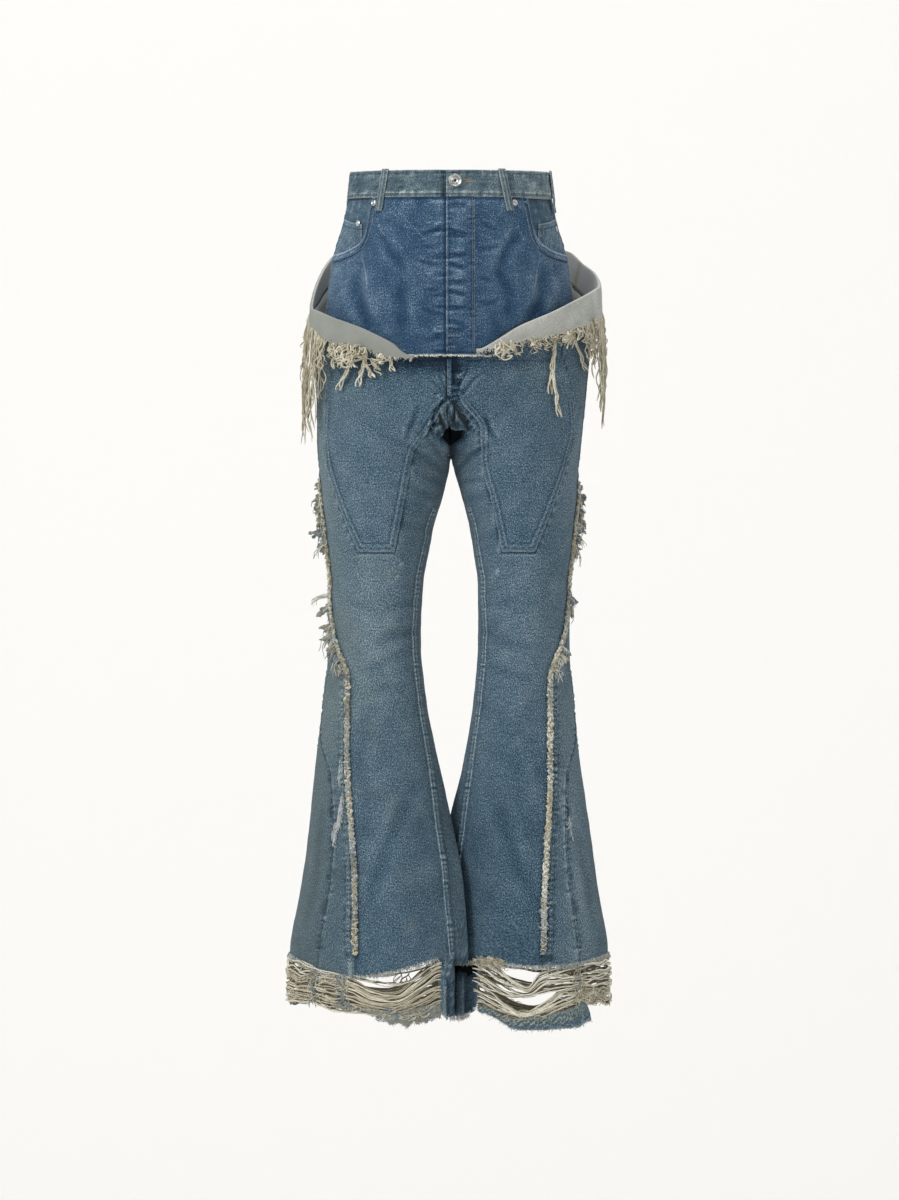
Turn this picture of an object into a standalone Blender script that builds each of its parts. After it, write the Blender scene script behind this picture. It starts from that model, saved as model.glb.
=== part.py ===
"""Bootcut jeans, filled out as if worn: a dark upper shell, a folded hip layer and flared legs.

Metres, +Z up, the front faces -Y. The origin is the centre of the waistband.
Left is -X and right is +X, as seen from the front. Tables are in millimetres.
"""
import math

import bmesh
import bpy
import numpy as np
from mathutils import Vector

MM = 0.001
SEAM = 0.3          # gap between neighbouring pieces
DENIM = 1.5         # cloth wall
BAND = 2.6          # waistband wall, two layers
SIDES = ("left", "right")
SIGN = {"left": -1.0, "right": 1.0}

# Upper shell: half width and depth of its sections.
UPPER = {
    "z": (18, -19, -55, -95, -157, -235),
    "half": (134, 138, 146, 157.5, 166, 171),
    "front": (96, 99, 103, 106, 108, 108),
    "back": (98, 102, 110, 119, 127, 131),
}
WAIST_TOP = 17.5
WAIST_SEAM = -19.0
UPPER_HEM = -232.0

# Outer leg layer: outer and inner reach of a section, its depths, how far its middle lies
# back, how flat its inner edge is pinched, and how far that edge swings back.
LEG = {
    "left": {
        "z": (-80, -160, -232, -290, -345, -379, -420, -460, -501, -541, -622, -703, -784,
              -865, -946, -1041, -1145),
        "outer": (178, 187, 184.5, 181, 180.5, 178, 175, 170.5, 167.5, 164.7, 164.7, 171.5,
                  182.3, 190.4, 201.2, 217.4, 219),
        "inner": (0.2, 0.2, 0.2, 0.2, 0.2, 1, 9, 21.6, 29.7, 36.5, 39.1, 31.1, 14.9, -4,
                  -20.2, -27, -27),
        "front": (111, 106, 103.6, 101.6, 99, 95, 88, 82, 77, 72, 66, 67, 71, 76, 80, 81, 81),
        "back": (134, 138, 138, 134, 124, 112, 100, 92, 85, 78, 70, 72, 76, 79, 81, 82, 82),
        "fore": (0, 0, 0, 0, 1, 2, 1, 0, -1, -2, -3, 0, 4, 5, 4, 4, 4),
        "pinch": (1, 1, 1, 1, 1, 1, 1, 1, 1, 1, 1, 1, 1.2, 1.7, 2.2, 2.3, 2.3),
        "swing": (0, 0, 0, 0, 0, 0, 0, 0, 0, 0, 0, 0, -2, -11, -31, -36, -36),
    },
    "right": {
        "z": (-80, -160, -232, -290, -345, -379, -420, -460, -501, -541, -622, -703, -784,
              -865, -946, -1041, -1145),
        "outer": (186, 194, 189, 184, 178.5, 174.5, 173.5, 170.2, 167.4, 163.4, 162, 167.4,
                  176.9, 189, 199.8, 214.6, 217),
        "inner": (0.2, 0.2, 0.2, 0.2, 0.2, 5, 15.5, 25.7, 32.4, 37.8, 37.8, 31, 17.5, -2.7,
                  -17.6, -27, -27),
        "front": (111, 106, 103.6, 101.6, 99, 95, 88, 82, 77, 72, 66, 67, 71, 76, 80, 81, 81),
        "back": (134, 138, 138, 134, 124, 112, 100, 92, 85, 78, 70, 72, 76, 79, 81, 82, 82),
        "fore": (0, 0, 0, 0, 1, 2, 1, 0, -1, -2, -3, 2, 8, 12, 14, 14, 14),
        "pinch": (1, 1, 1, 1, 1, 1, 1, 1, 1, 1, 1, 1, 1.2, 1.7, 2.2, 2.3, 2.3),
        "swing": (0, 0, 0, 0, 0, 0, 0, 0, 0, 0, 0, 0, 2, 11, 31, 36, 36),
    },
}
FORK_TOP = -285.0     # where the centre seam starts to curve under
FORK_DROP = 81.0      # height of the crotch curve
TIP_HALF = 2.2        # half the gap that the two legs of a pinched edge keep
TIP_BLEND = 2.0
OVERLAY = 0.9         # gap under what lies on a curved panel

# Soft folds of the leg layer: a trough from one point to the other, angle in degrees from
# the outer side (front positive), its half width and its depth.
FOLDS = (
    # side, z from, angle from, z to, angle to, half width, depth
    ("left", -345, 112, -300, 62, 20, 3.2),
    ("left", -392, 150, -345, 86, 21, 3.0),
    ("right", -340, 110, -292, 66, 20, 3.0),
    ("right", -388, 148, -352, 90, 21, 3.4),
    ("left", -455, 158, -430, 112, 21, 2.2),
    ("right", -462, 156, -440, 116, 21, 2.0),
    ("left", -590, 150, -650, 96, 26, 2.6),
    ("right", -600, 148, -640, 92, 26, 2.4),
    ("left", -610, -160, -640, -60, 28, 4.0),
    ("right", -618, -160, -590, -60, 28, 3.6),
    ("left", -400, -158, -352, -84, 26, 4.0),
    ("right", -404, -158, -350, -80, 26, 4.2),
    ("left", -575, -150, -552, -80, 24, 2.6),
    ("right", -660, -150, -676, -80, 24, 2.8),
)

# Frayed side seam: its angle from the outer side at each height.
FRAYED = {
    "z": (-80, -400, -507, -575, -615, -645, -665, -705, -830, -900, -1041),
    "angle": (4, 9, 18, 23, 34, 50, 57, 59, 64, 68, 75),
}
# Seam between side panel and godet, and between godet and leg back.
GODET = {"z": (-703, -745, -800, -900, -1041), "angle": (-3, 15, 43, 50, 48)}
BACK_SEAM = {"z": (-610, -660, -703, -900, -1041), "angle": (31.4, 12, -4, -24, -30)}
SIDE_PANEL_TOP = -610.0
GODET_TOP = -703.0

# Rim of the folded hip layer: angle from front centre, height of the rim, height of the raw
# edge and height of the seam with the leg layer.
RIM = {
    "left": {
        "turn": (12, 17, 27, 41, 58, 70, 90, 105, 115, 125, 150, 180),
        "rim": (-230, -228.5, -212.6, -194.4, -181, -173, -164, -134, -109, -90.5, -78, -75.6),
        "raw": (-236, -237, -234, -219, -213, -202, -179, -168, -150, -132, -120, -117),
        "seam": (-218, -222, -229.5, -214, -205, -194, -174, -160, -140, -122, -108, -105),
    },
    "right": {
        "turn": (12, 17, 28, 42, 58, 75, 88, 105, 117, 127, 150, 180),
        "rim": (-222, -214.5, -193, -175.5, -157, -143, -136.5, -118, -105, -88, -77, -75.6),
        "raw": (-228, -222, -214, -206, -194, -183, -178, -167, -150, -132, -120, -117),
        "seam": (-218, -218, -209, -199, -186, -172, -166, -156, -140, -122, -108, -105),
    },
}
RIM_HALF = {"left": 187.6, "right": 202.5}
RIM_FRONT = 114.0
RIM_BACK = 141.0
RIM_START = {"left": 15.0, "right": 10.0}
LAP_TURN = (22.0, 34.0)   # the fold lies on the upper shell before, on the leg layer after

# Raw hem of the denim, loose yarns below it and the ragged strip under them.
HEM_SIDE = -1041.0
HEM_DIP = {"left": 28.0, "right": 16.0}
HEM_TAIL = -1117.0
TAIL_ANGLE = 131.0
YARN_FOOT = -1107.0
YARN_ANGLE = 129.0
STRIP_FOOT = {"left": -1135.0, "right": -1142.0}
STRIP_SPAN = {"left": (56.0, 124.0), "right": (38.0, 100.0)}
YARN_COLUMNS = 14
YARN_ROWS = 4
YARN_HOLES = (
    # side, face, angle from, angle to, first row, last row
    ("left", "front", 68, 112, 0, 1),
    ("right", "front", 76, 102, 0, 1),
    ("right", "front", 60, 94, 3, 3),
    ("left", "back", 52, 86, 0, 1),
    ("right", "back", 68, 112, 0, 1),
    ("left", "back", 94, 120, 3, 3),
)

COLORS = {
    "dark_denim": (0.05, 0.10, 0.17),
    "faded_denim": (0.10, 0.17, 0.21),
    "wrong_side": (0.34, 0.36, 0.34),
    "yarn": (0.42, 0.39, 0.29),
    "steel": (0.55, 0.56, 0.56),
}


# ---------------------------------------------------------------- curves and sections

def column(table, name, z):
    """Smooth, overshoot-free value of a table's column at z, whose rows fall or rise."""
    zs = np.array(table["z"] if "z" in table else table["turn"], dtype=float)
    vs = np.array(table[name], dtype=float)
    if zs[0] > zs[-1]:
        zs, vs = zs[::-1], vs[::-1]
    z = min(max(z, zs[0]), zs[-1])
    k = min(max(int(np.searchsorted(zs, z)) - 1, 0), len(zs) - 2)
    steps = np.diff(zs)
    slopes = np.diff(vs) / steps
    tangents = np.zeros(len(zs))
    tangents[0] = slopes[0]
    tangents[-1] = slopes[-1]
    for i in range(1, len(zs) - 1):
        if slopes[i - 1] * slopes[i] > 0:
            tangents[i] = 2 * slopes[i - 1] * slopes[i] / (slopes[i - 1] + slopes[i])
    h = steps[k]
    t = (z - zs[k]) / h
    return ((1 + 2 * t) * (1 - t) ** 2 * vs[k] + t * (1 - t) ** 2 * h * tangents[k]
            + t * t * (3 - 2 * t) * vs[k + 1] + t * t * (t - 1) * h * tangents[k + 1])


def blend(x, low, high):
    """0 below low, 1 above high, smooth between."""
    t = min(max((x - low) / (high - low), 0.0), 1.0)
    return t * t * (3 - 2 * t)


def lifted(surface, u, z, lift, middle):
    """Point of surface(u, z) moved out along its normal, away from middle(z)."""
    here = surface(u, z)
    across = surface(u + 0.4, z) - surface(u - 0.4, z)
    down = surface(u, z - 1.0) - surface(u, z + 1.0)
    normal = across.cross(down)
    if normal.length < 1e-9:
        return here
    normal.normalize()
    if normal.dot(here - middle(z)) < 0:
        normal.negate()
    return here + normal * lift


def upper_base(turn, z):
    half = column(UPPER, "half", z)
    angle = math.radians(turn)
    depth = column(UPPER, "front" if math.cos(angle) > 0 else "back", z)
    return Vector((half * math.sin(angle), -depth * math.cos(angle), z))


def upper_point(turn, z, lift=0.0):
    return lifted(upper_base, turn, z, lift, lambda level: Vector((0, 0, level)))


def fork_angle(z):
    """Angle of the section's inner end: 90 above the crotch, 180 in a whole leg."""
    return 90.0 + math.degrees(math.asin(min(max((FORK_TOP - z) / FORK_DROP, 0.0), 1.0)))


def leg_frame(side, z):
    """Middle of a leg section along X and its half width."""
    outer = column(LEG[side], "outer", z)
    inner = column(LEG[side], "inner", z)
    half = (outer - inner) / (1.0 - math.cos(math.radians(fork_angle(z))))
    return outer - half, half


def inner_angle(side, z, face):
    """Last angle that a panel reaches at the inseam or centre seam."""
    depth = column(LEG[side], face, z)
    pinch = column(LEG[side], "pinch", z)
    tip = math.degrees(math.asin(min((TIP_HALF / depth) ** (1.0 / pinch), 0.9)))
    return min(fork_angle(z), 180.0 - tip)


def fold_depth(side, angle, z, half):
    """How far the soft folds pull the cloth in at one place."""
    depth = 0.0
    for name, z0, a0, z1, a1, width, deep in FOLDS:
        if name != side:
            continue
        reach = math.pi * half / 180.0
        along = Vector(((a1 - a0) * reach, z1 - z0))
        rel = Vector(((angle - a0) * reach, z - z0))
        t = min(max(rel.dot(along) / along.length_squared, 0.0), 1.0)
        away = (rel - along * t).length / width
        depth += deep * math.exp(-away * away) * (0.45 + 0.55 * math.sin(math.pi * (0.15 + 0.7 * t)))
    return depth


def leg_base(side, angle, z):
    table = LEG[side]
    middle, half = leg_frame(side, z)
    phi = math.radians(angle)
    pinch = column(table, "pinch", z) if math.cos(phi) < 0 else 1.0
    depth = column(table, "front" if angle > 0 else "back", z)
    reach = abs(math.sin(phi)) ** (1 + (pinch - 1) * blend(-math.cos(phi), 0.0, 0.35))
    pull = fold_depth(side, angle, z, half)
    swing = column(table, "swing", z) * ((1 - math.cos(phi)) / 2) ** TIP_BLEND
    x = middle + (half - pull) * math.cos(phi)
    y = -math.copysign(max(depth * reach - pull * abs(math.sin(phi)), 0.0), angle)
    return Vector((SIGN[side] * x, y + column(table, "fore", z) + swing, z))


def leg_point(side, angle, z, lift=0.0):
    def surface(a, level):
        return leg_base(side, a, level)

    def middle(level):
        return Vector((SIGN[side] * leg_frame(side, level)[0], column(LEG[side], "fore", level), level))
    return lifted(surface, angle, z, lift, middle)


def hem_height(side, angle):
    """Raw hem of the denim; at the inseam it runs on down in a tail."""
    dip = HEM_DIP[side] if angle > 0 else HEM_DIP["right"]
    edge = HEM_SIDE - dip * math.sin(math.radians(min(abs(angle), 150.0) * 1.2)) ** 2
    return edge + (HEM_TAIL - edge) * blend(abs(angle), TAIL_ANGLE - 1, TAIL_ANGLE + 2)


# ---------------------------------------------------------------- solids

def material(name):
    found = bpy.data.materials.get(name)
    if found:
        return found
    made = bpy.data.materials.new(name)
    made.use_nodes = True
    shader = made.node_tree.nodes["Principled BSDF"]
    shader.inputs["Base Color"].default_value = (*COLORS[name], 1.0)
    shader.inputs["Roughness"].default_value = 0.3 if name == "steel" else 0.9
    shader.inputs["Metallic"].default_value = 1.0 if name == "steel" else 0.0
    return made


def add_object(name, points, faces, finish, smooth=True):
    """One closed body from points in millimetres."""
    mesh = bpy.data.meshes.new(name)
    mesh.from_pydata([tuple(p * MM) for p in points], [], faces)
    work = bmesh.new()
    work.from_mesh(mesh)
    bmesh.ops.recalc_face_normals(work, faces=work.faces)
    work.to_mesh(mesh)
    work.free()
    if smooth:
        mesh.shade_smooth()
        mesh.set_sharp_from_angle(angle=math.radians(50))
    mesh.materials.append(material(finish))
    made = bpy.data.objects.new(name, mesh)
    bpy.context.scene.collection.objects.link(made)
    return made


def wall(name, outer, inner, finish, kept=None):
    """Closed wall between two grids of points; kept says which cells exist."""
    rows, cols = len(outer), len(outer[0])
    points = [p for row in outer for p in row] + [p for row in inner for p in row]
    under = rows * cols
    cells = {(r, c) for r in range(rows - 1) for c in range(cols - 1)
             if kept is None or kept(r, c)}
    faces = []
    for r, c in sorted(cells):
        corner = (r * cols + c, r * cols + c + 1, (r + 1) * cols + c + 1, (r + 1) * cols + c)
        faces.append(corner)
        faces.append(tuple(i + under for i in reversed(corner)))
        beside = ((r - 1, c), (r, c + 1), (r + 1, c), (r, c - 1))
        for k, other in enumerate(beside):
            if other not in cells:
                a, b = corner[k], corner[(k + 1) % 4]
                faces.append((b, a, a + under, b + under))
    used = sorted({i for face in faces for i in face})
    index = {old: new for new, old in enumerate(used)}
    return add_object(name, [points[i] for i in used],
                      [tuple(index[i] for i in face) for face in faces], finish)


def sheet(name, place, rows, cols, thickness, finish, lift=0.0, kept=None):
    """Wall over place(row part, column part, lift), its outer face at lift + thickness."""
    def grid(height):
        return [[place(r / rows, c / cols, height) for c in range(cols + 1)]
                for r in range(rows + 1)]
    return wall(name, grid(lift + thickness), grid(lift), finish, kept)


def lerp(a, b, t):
    return a + (b - a) * t


def turned(name, profile, segments, centre, outward, finish):
    """Solid turned about the outward axis; profile rows are (radius, height)."""
    axis = outward.normalized()
    side = axis.orthogonal().normalized()
    other = axis.cross(side)
    points = []
    faces = []
    for radius, height in profile:
        for k in range(segments):
            angle = 2 * math.pi * k / segments
            ring = side * math.cos(angle) + other * math.sin(angle)
            points.append(centre + axis * height + ring * radius)
    for r in range(len(profile) - 1):
        for k in range(segments):
            n = (k + 1) % segments
            faces.append((r * segments + k, r * segments + n,
                          (r + 1) * segments + n, (r + 1) * segments + k))
    faces.append(tuple(range(segments)))
    faces.append(tuple(range((len(profile) - 1) * segments, len(profile) * segments)))
    return add_object(name, points, faces, finish)


def fringe(name, path, outward, height, thickness, strands, finish):
    """Narrow strip along path with strands grown from its lower or outer faces.

    strands rows: (segment, "down" or "out", steps), steps being the points of the strand.
    """
    points = []
    faces = []
    for p, out in zip(path, outward):
        top = Vector((0, 0, height))
        points += [p, p + out * thickness, p + out * thickness - top, p - top]
    last = len(path) - 1
    grown = {(segment, face): steps for segment, face, steps in strands}
    for s in range(last):
        ring = [4 * s + i for i in range(4)]
        ahead = [i + 4 for i in ring]
        for i, face in enumerate(("up", "out", "down", "in")):
            n = (i + 1) % 4
            quad = [ring[i], ring[n], ahead[n], ahead[i]]
            steps = grown.get((s, face))
            if steps is None:
                faces.append(tuple(quad))
                continue
            root = sum((points[q] for q in quad), Vector()) / 4
            spokes = [points[q] - root for q in quad]
            loop = quad
            for k, step in enumerate(steps):
                taper = 0.8 - 0.45 * (k + 1) / len(steps)
                start = len(points)
                points += [step + spoke * taper for spoke in spokes]
                fresh = [start + i for i in range(4)]
                for i2 in range(4):
                    n2 = (i2 + 1) % 4
                    faces.append((loop[i2], loop[n2], fresh[n2], fresh[i2]))
                loop = fresh
            faces.append(tuple(loop))
    faces.append((0, 1, 2, 3))
    faces.append(tuple(4 * last + i for i in range(4)))
    return add_object(name, points, faces, finish, smooth=False)


def wander(seed, steps, size):
    """Even, repeatable sideways path of a loose thread."""
    rng = np.random.default_rng(seed)
    phase = rng.uniform(0, 2 * math.pi, 2)
    rate = rng.uniform(1.5, 3.2, 2)
    return [Vector((size * math.sin(rate[0] * k + phase[0]) * k / steps,
                    size * 0.4 * math.sin(rate[1] * k + phase[1]) * k / steps, 0))
            for k in range(1, steps + 1)]


# ---------------------------------------------------------------- upper shell

LAP_AT = -5.0            # where the right front laps over the left, along X
LAP_WIDTH = 30.0
LAP_GAP = 0.9            # between the two layers of the waistband where it laps
FLY_EDGE = 33.0
SIDE_EDGE = 89.8         # angle of a front's side edge from the middle of the front
FACING = -4.2            # outer face of a pocket facing, below the front's outer face
FACING_X = 94.0
FACING_FOOT = -116.0
COIN_X = 121.0           # inner edge of a coin pocket; its outer edge is at COIN_TURN degrees
COIN_TURN = 84.0
COIN_TOP = -46.0
COIN_SLOPE = 8.0
COIN_FOOT = -112.0
POCKET = {
    # scooped pocket mouth: distance from the centre and height of the front panel's top edge
    "x": (5, 40, 75, 104, 107.5, 111, 115, 122, 133, 143, 151, 156, 158),
    "top": (-19, -19, -19, -19, -31, -52, -70, -81, -88, -92, -94, -95, -95),
}


def turn_at(x, z):
    """Angle from front centre of a place x from the middle of the upper shell's front."""
    return math.degrees(math.asin(max(min(x / column(UPPER, "half", z), 1.0), -1.0)))


def upper_hem(turn):
    """Lower edge of the upper shell: a raw hem in front, hidden inside the fold elsewhere."""
    side = "right" if turn > 0 else "left"
    rim = column(RIM[side], "rim", max(abs(turn), RIM[side]["turn"][0]))
    drop = 6 + 34 * blend(abs(turn), 36, 62) - 16 * blend(abs(turn), 100, 140)
    free = blend(abs(turn), 15, 20)
    return max(lerp(UPPER_HEM, rim - drop, free), UPPER_HEM)


def make_waistband():
    """One strip round the waist; its far end lies under the front end."""
    start = turn_at(LAP_AT, 0)
    end = 360 + turn_at(LAP_AT + LAP_WIDTH, 0)

    def place(r, c, height):
        turn = lerp(end, start, c)
        under = blend(turn, 353, 357) * (BAND + LAP_GAP)
        z = lerp(WAIST_TOP, WAIST_SEAM + SEAM, r)
        return upper_point(turn, z, height - under)
    sheet("waistband", place, 2, 60, BAND, "faded_denim", lift=-BAND + DENIM)


def make_belt_loops():
    """Narrow strips that stand off the waistband between their sewn ends."""
    places = {
        # name: x or turn at the top, x at the foot, front or not
        "front_left": (turn_at(-86.4, 10), turn_at(-95.8, -38)),
        "front_right": (turn_at(68.9, 10), turn_at(81, -38)),
        "side_left": (-103.0, -103.0),
        "side_right": (86.0, 86.0),
        "back": (180.0, 180.0),
    }
    half = 5.0
    top, foot = 19.5, -38.0
    for name, (turn_top, turn_foot) in places.items():
        def place(r, c, height, a=turn_top, b=turn_foot):
            z = lerp(top, foot, r)
            radius = column(UPPER, "half", z)
            turn = lerp(a, b, r) + math.degrees(half / radius) * (2 * c - 1)
            seat = DENIM + SEAM if z > WAIST_SEAM - 6 else OVERLAY
            arch = 2.2 * math.sin(math.pi * min(max(r, 0), 1)) ** 0.7
            return upper_point(turn, z, height + seat + arch)
        sheet("belt_loop_" + name, place, 7, 2, 1.8, "faded_denim")


def front_columns(side):
    """Distances of a front's columns from the centre, the first at the fly's lap."""
    inner = LAP_AT + SEAM if side == "right" else -LAP_AT
    return [inner] + list(POCKET["x"][1:])


def make_upper_fronts():
    """Dark fronts with the scooped pocket mouths cut out of their top corners."""
    for side in SIDES:
        xs = front_columns(side)
        tops = POCKET["top"]
        count = len(xs) - 1

        def place(r, c, height, side=side, xs=xs):
            k = round(c * count)
            top_turn = low_turn = SIDE_EDGE
            if k < count:
                top_turn = turn_at(xs[k], tops[k])
                low_turn = turn_at(xs[k], UPPER_HEM)
            z = lerp(tops[k], upper_hem(SIGN[side] * low_turn), r)
            return upper_point(SIGN[side] * lerp(top_turn, low_turn, r), z, height)
        sheet("upper_front_" + side, place, 4, count, DENIM, "dark_denim", lift=-DENIM)


def make_fly():
    """Topstitched strip over the hidden buttons, from the waist seam to the raw hem."""
    def place(r, c, height):
        z = lerp(WAIST_SEAM - SEAM, UPPER_HEM + 12, r)
        x = lerp(LAP_AT, FLY_EDGE, c)
        return upper_point(turn_at(x, z), z, height)
    sheet("fly_placket", place, 8, 2, 1.2, "dark_denim", lift=SEAM)


def make_pockets():
    """Facings behind the pocket mouths, with a coin pocket on each."""
    for side in SIDES:
        sign = SIGN[side]

        def facing(r, c, height, sign=sign):
            z = lerp(WAIST_SEAM - SEAM, FACING_FOOT, r)
            turn = sign * lerp(turn_at(FACING_X, z), SIDE_EDGE - 0.2, c)
            return upper_point(turn, z, height)

        def coin(r, c, height, sign=sign):
            z = lerp(COIN_TOP - COIN_SLOPE * (1 - c), COIN_FOOT, r)
            turn = sign * lerp(turn_at(COIN_X, z), COIN_TURN, c)
            return upper_point(turn, z, height)
        sheet("pocket_facing_" + side, facing, 4, 6, 1.0, "dark_denim", lift=FACING - 1.0)
        sheet("coin_pocket_" + side, coin, 3, 4, 0.9, "dark_denim", lift=FACING + 0.8)


def make_yokes():
    """Back of the upper shell, from the waist seam down into the fold."""
    for side in SIDES:
        sign = SIGN[side]

        def place(r, c, height, sign=sign):
            turn = sign * lerp(90.1, 179.9, c)
            top = WAIST_SEAM - SEAM
            return upper_point(turn, lerp(top, upper_hem(turn), r), height)
        sheet("back_yoke_" + side, place, 3, 9, DENIM, "dark_denim", lift=-DENIM)


def make_button():
    """Shank button with a raised rim and a sunk middle, on the lapped waistband."""
    x, z = 6.8, 2.7
    seat = upper_point(turn_at(x, z), z, DENIM + SEAM)
    outward = (upper_point(turn_at(x, z), z, 10) - seat)
    profile = ((4.0, 0.0), (4.0, 1.2), (8.0, 1.6), (8.5, 2.6), (7.9, 3.6), (6.6, 3.7),
               (5.8, 2.9), (2.6, 2.7), (2.1, 3.4), (0.8, 3.6))
    turned("button", profile, 16, seat, outward, "steel")


def make_rivets():
    """Domed rivets at the pocket corners."""
    spots = {
        "front_left": (-102.6, -26.3, 0.0),
        "front_right": (87.1, -26.3, 0.0),
        "coin_left": (-125.6, -52.7, FACING + 1.8),
        "side_right": (145.0, -59.5, FACING + 1.8),
    }
    for name, (x, z, level) in spots.items():
        turn = turn_at(x, z)
        if name == "side_right":
            turn = 83.0
        seat = upper_point(turn, z, level + SEAM)
        outward = upper_point(turn, z, 12) - seat
        profile = ((2.2, 0.0), (4.2, 0.3), (4.3, 0.9), (3.2, 1.6), (1.2, 2.0))
        turned("rivet_" + name, profile, 10, seat, outward, "steel")


# ---------------------------------------------------------------- folded hip layer

def rim_base(side, turn):
    """Rim curve and its outward direction, both level."""
    angle = math.radians(turn)
    half = RIM_HALF[side]
    depth = RIM_FRONT if turn < 90 else RIM_BACK
    place = Vector((SIGN[side] * half * math.sin(angle), -depth * math.cos(angle), 0))
    out = Vector((SIGN[side] * depth * math.sin(angle), -half * math.cos(angle), 0))
    return place, out.normalized()


def rim_row(side, turn, name):
    return column(RIM[side], name, turn)


def fold_section(side, turn):
    """Middle line of the folded cloth: up from the seam, over the rim and down outside."""
    rim, out = rim_base(side, turn)
    rim_z = rim_row(side, turn, "rim")
    raw_z = rim_row(side, turn, "raw")
    seam_z = rim_row(side, turn, "seam") + 1.2
    on_leg = blend(turn, *LAP_TURN)
    leg = leg_point(side, 90 - turn, seam_z, -DENIM / 2)
    low = min(rim_z - 3.5, seam_z)
    shell = rim - out * 1.8
    shell.z = lerp(rim_z - 3.0, seam_z, on_leg)
    foot = shell.lerp(leg, on_leg)
    foot.z = min(shell.z, rim_z - 2.6)
    bulge = rim.lerp(foot, 0.5) - out * 0.9
    bulge.z = lerp(rim_z - 1.2, min(foot.z, low), 0.45)
    up = Vector((0, 0, 1))
    points = [foot, bulge,
              rim - out * 1.6 + up * (rim_z - 1.0),
              rim - out * 0.2 + up * (rim_z + 0.2),
              rim + out * 1.5 + up * (rim_z - 1.0)]
    hang = min(1.0, (rim_z - raw_z) / 30.0)
    for t in (0.5, 1.0):
        bow = 1.6 + 2.2 * hang * math.sin(math.pi * 0.6 * t)
        points.append(rim + out * bow + up * lerp(rim_z - 1.0, raw_z, t))
    return points


def make_flaps():
    """Hip layer turned outwards over its rim, left and right of the back centre."""
    for side in SIDES:
        turns = np.linspace(RIM_START[side], 179.87, 22)
        middle = [fold_section(side, t) for t in turns]
        outer = []
        inner = []
        half = DENIM / 2
        for c, line in enumerate(middle):
            before = middle[max(c - 1, 0)]
            after = middle[min(c + 1, len(middle) - 1)]
            outs = []
            ins = []
            for r, p in enumerate(line):
                along = line[min(r + 1, len(line) - 1)] - line[max(r - 1, 0)]
                normal = (after[r] - before[r]).cross(along)
                normal.normalize()
                outs.append(p + normal * half)
                ins.append(p - normal * half)
            outer.append(outs)
            inner.append(ins)
        wall("hip_flap_" + side, outer, inner, "wrong_side")


# ---------------------------------------------------------------- legs

LEVELS = (-285, -305, -325, -345, -358, -367, -385, -420, -460, -505, -555, -610, -640, -660,
          -703, -745, -784, -825, -865, -905, -946, -990)
TOP_STEPS = 2
# Angles of a panel's columns at the hem; the pair in the middle is the edge of the tail.
FOOT_ANGLES = {
    "front": (169, 157, 145, 132.5, 130.5, 119, 108, 97, 86, 75),
    "back": (169, 157, 145, 132.5, 130.5, 117, 104, 91, 78, 65, 53, 41, 30),
}


def layer_top(side, angle):
    """Top edge of the leg layer: under the raw hem in front, at the fold's seam elsewhere."""
    turn = 90 - angle
    return rim_row(side, max(turn, RIM[side]["turn"][0]), "seam") - SEAM


def panel_heights(side, angle_top, angle_foot, first, levels=LEVELS):
    """Heights down a panel's column, from its top edge to the raw hem."""
    top = first(angle_top)
    heights = [lerp(top, levels[0], k / TOP_STEPS) for k in range(TOP_STEPS)]
    heights += list(levels)
    foot = hem_height(side, angle_foot)
    heights += [lerp(levels[-1], foot, 0.5), foot]
    return heights


def side_bound(table, z, side, gap):
    """Angle of a seam at z, moved by gap millimetres along the cloth."""
    return column(table, "angle", z) + math.degrees(gap / leg_frame(side, z)[1])


def back_bound(side, z, gap):
    """Where a leg back starts: the frayed seam above, the godet's back seam below."""
    if z > SIDE_PANEL_TOP:
        return side_bound(FRAYED, z, side, gap)
    return side_bound(BACK_SEAM, z, side, gap)


def make_leg_panel(name, side, face, edge, finish):
    """Front or back of a leg from its inner seam to edge(z)."""
    sign = 1.0 if face == "front" else -1.0
    columns = FOOT_ANGLES[face]

    def grid(height):
        rows = []
        starts = [sign * inner_angle(side, FORK_TOP, face), edge(-200)]
        for r in range(TOP_STEPS + len(LEVELS) + 2):
            row = []
            for foot_column in FOOT_ANGLES[face]:
                part = (columns[0] - foot_column) / (columns[0] - columns[-1])
                top_angle = lerp(starts[0], starts[1], part)
                foot_angle = lerp(sign * inner_angle(side, HEM_SIDE, face), edge(HEM_SIDE), part)
                z = panel_heights(side, top_angle, foot_angle,
                                  lambda a: layer_top(side, a))[r]
                angle = lerp(sign * inner_angle(side, z, face), edge(z), part)
                row.append(leg_point(side, angle, z, height))
            rows.append(row)
        return rows
    wall(name, grid(0.0), grid(-DENIM), finish)


def make_legs():
    for side in SIDES:
        make_leg_panel("leg_front_" + side, side, "front",
                       lambda z, s=side: side_bound(FRAYED, z, s, SEAM / 2), "faded_denim")
        make_leg_panel("leg_back_" + side, side, "back",
                       lambda z, s=side: back_bound(s, z, -SEAM / 2), "faded_denim")


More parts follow.
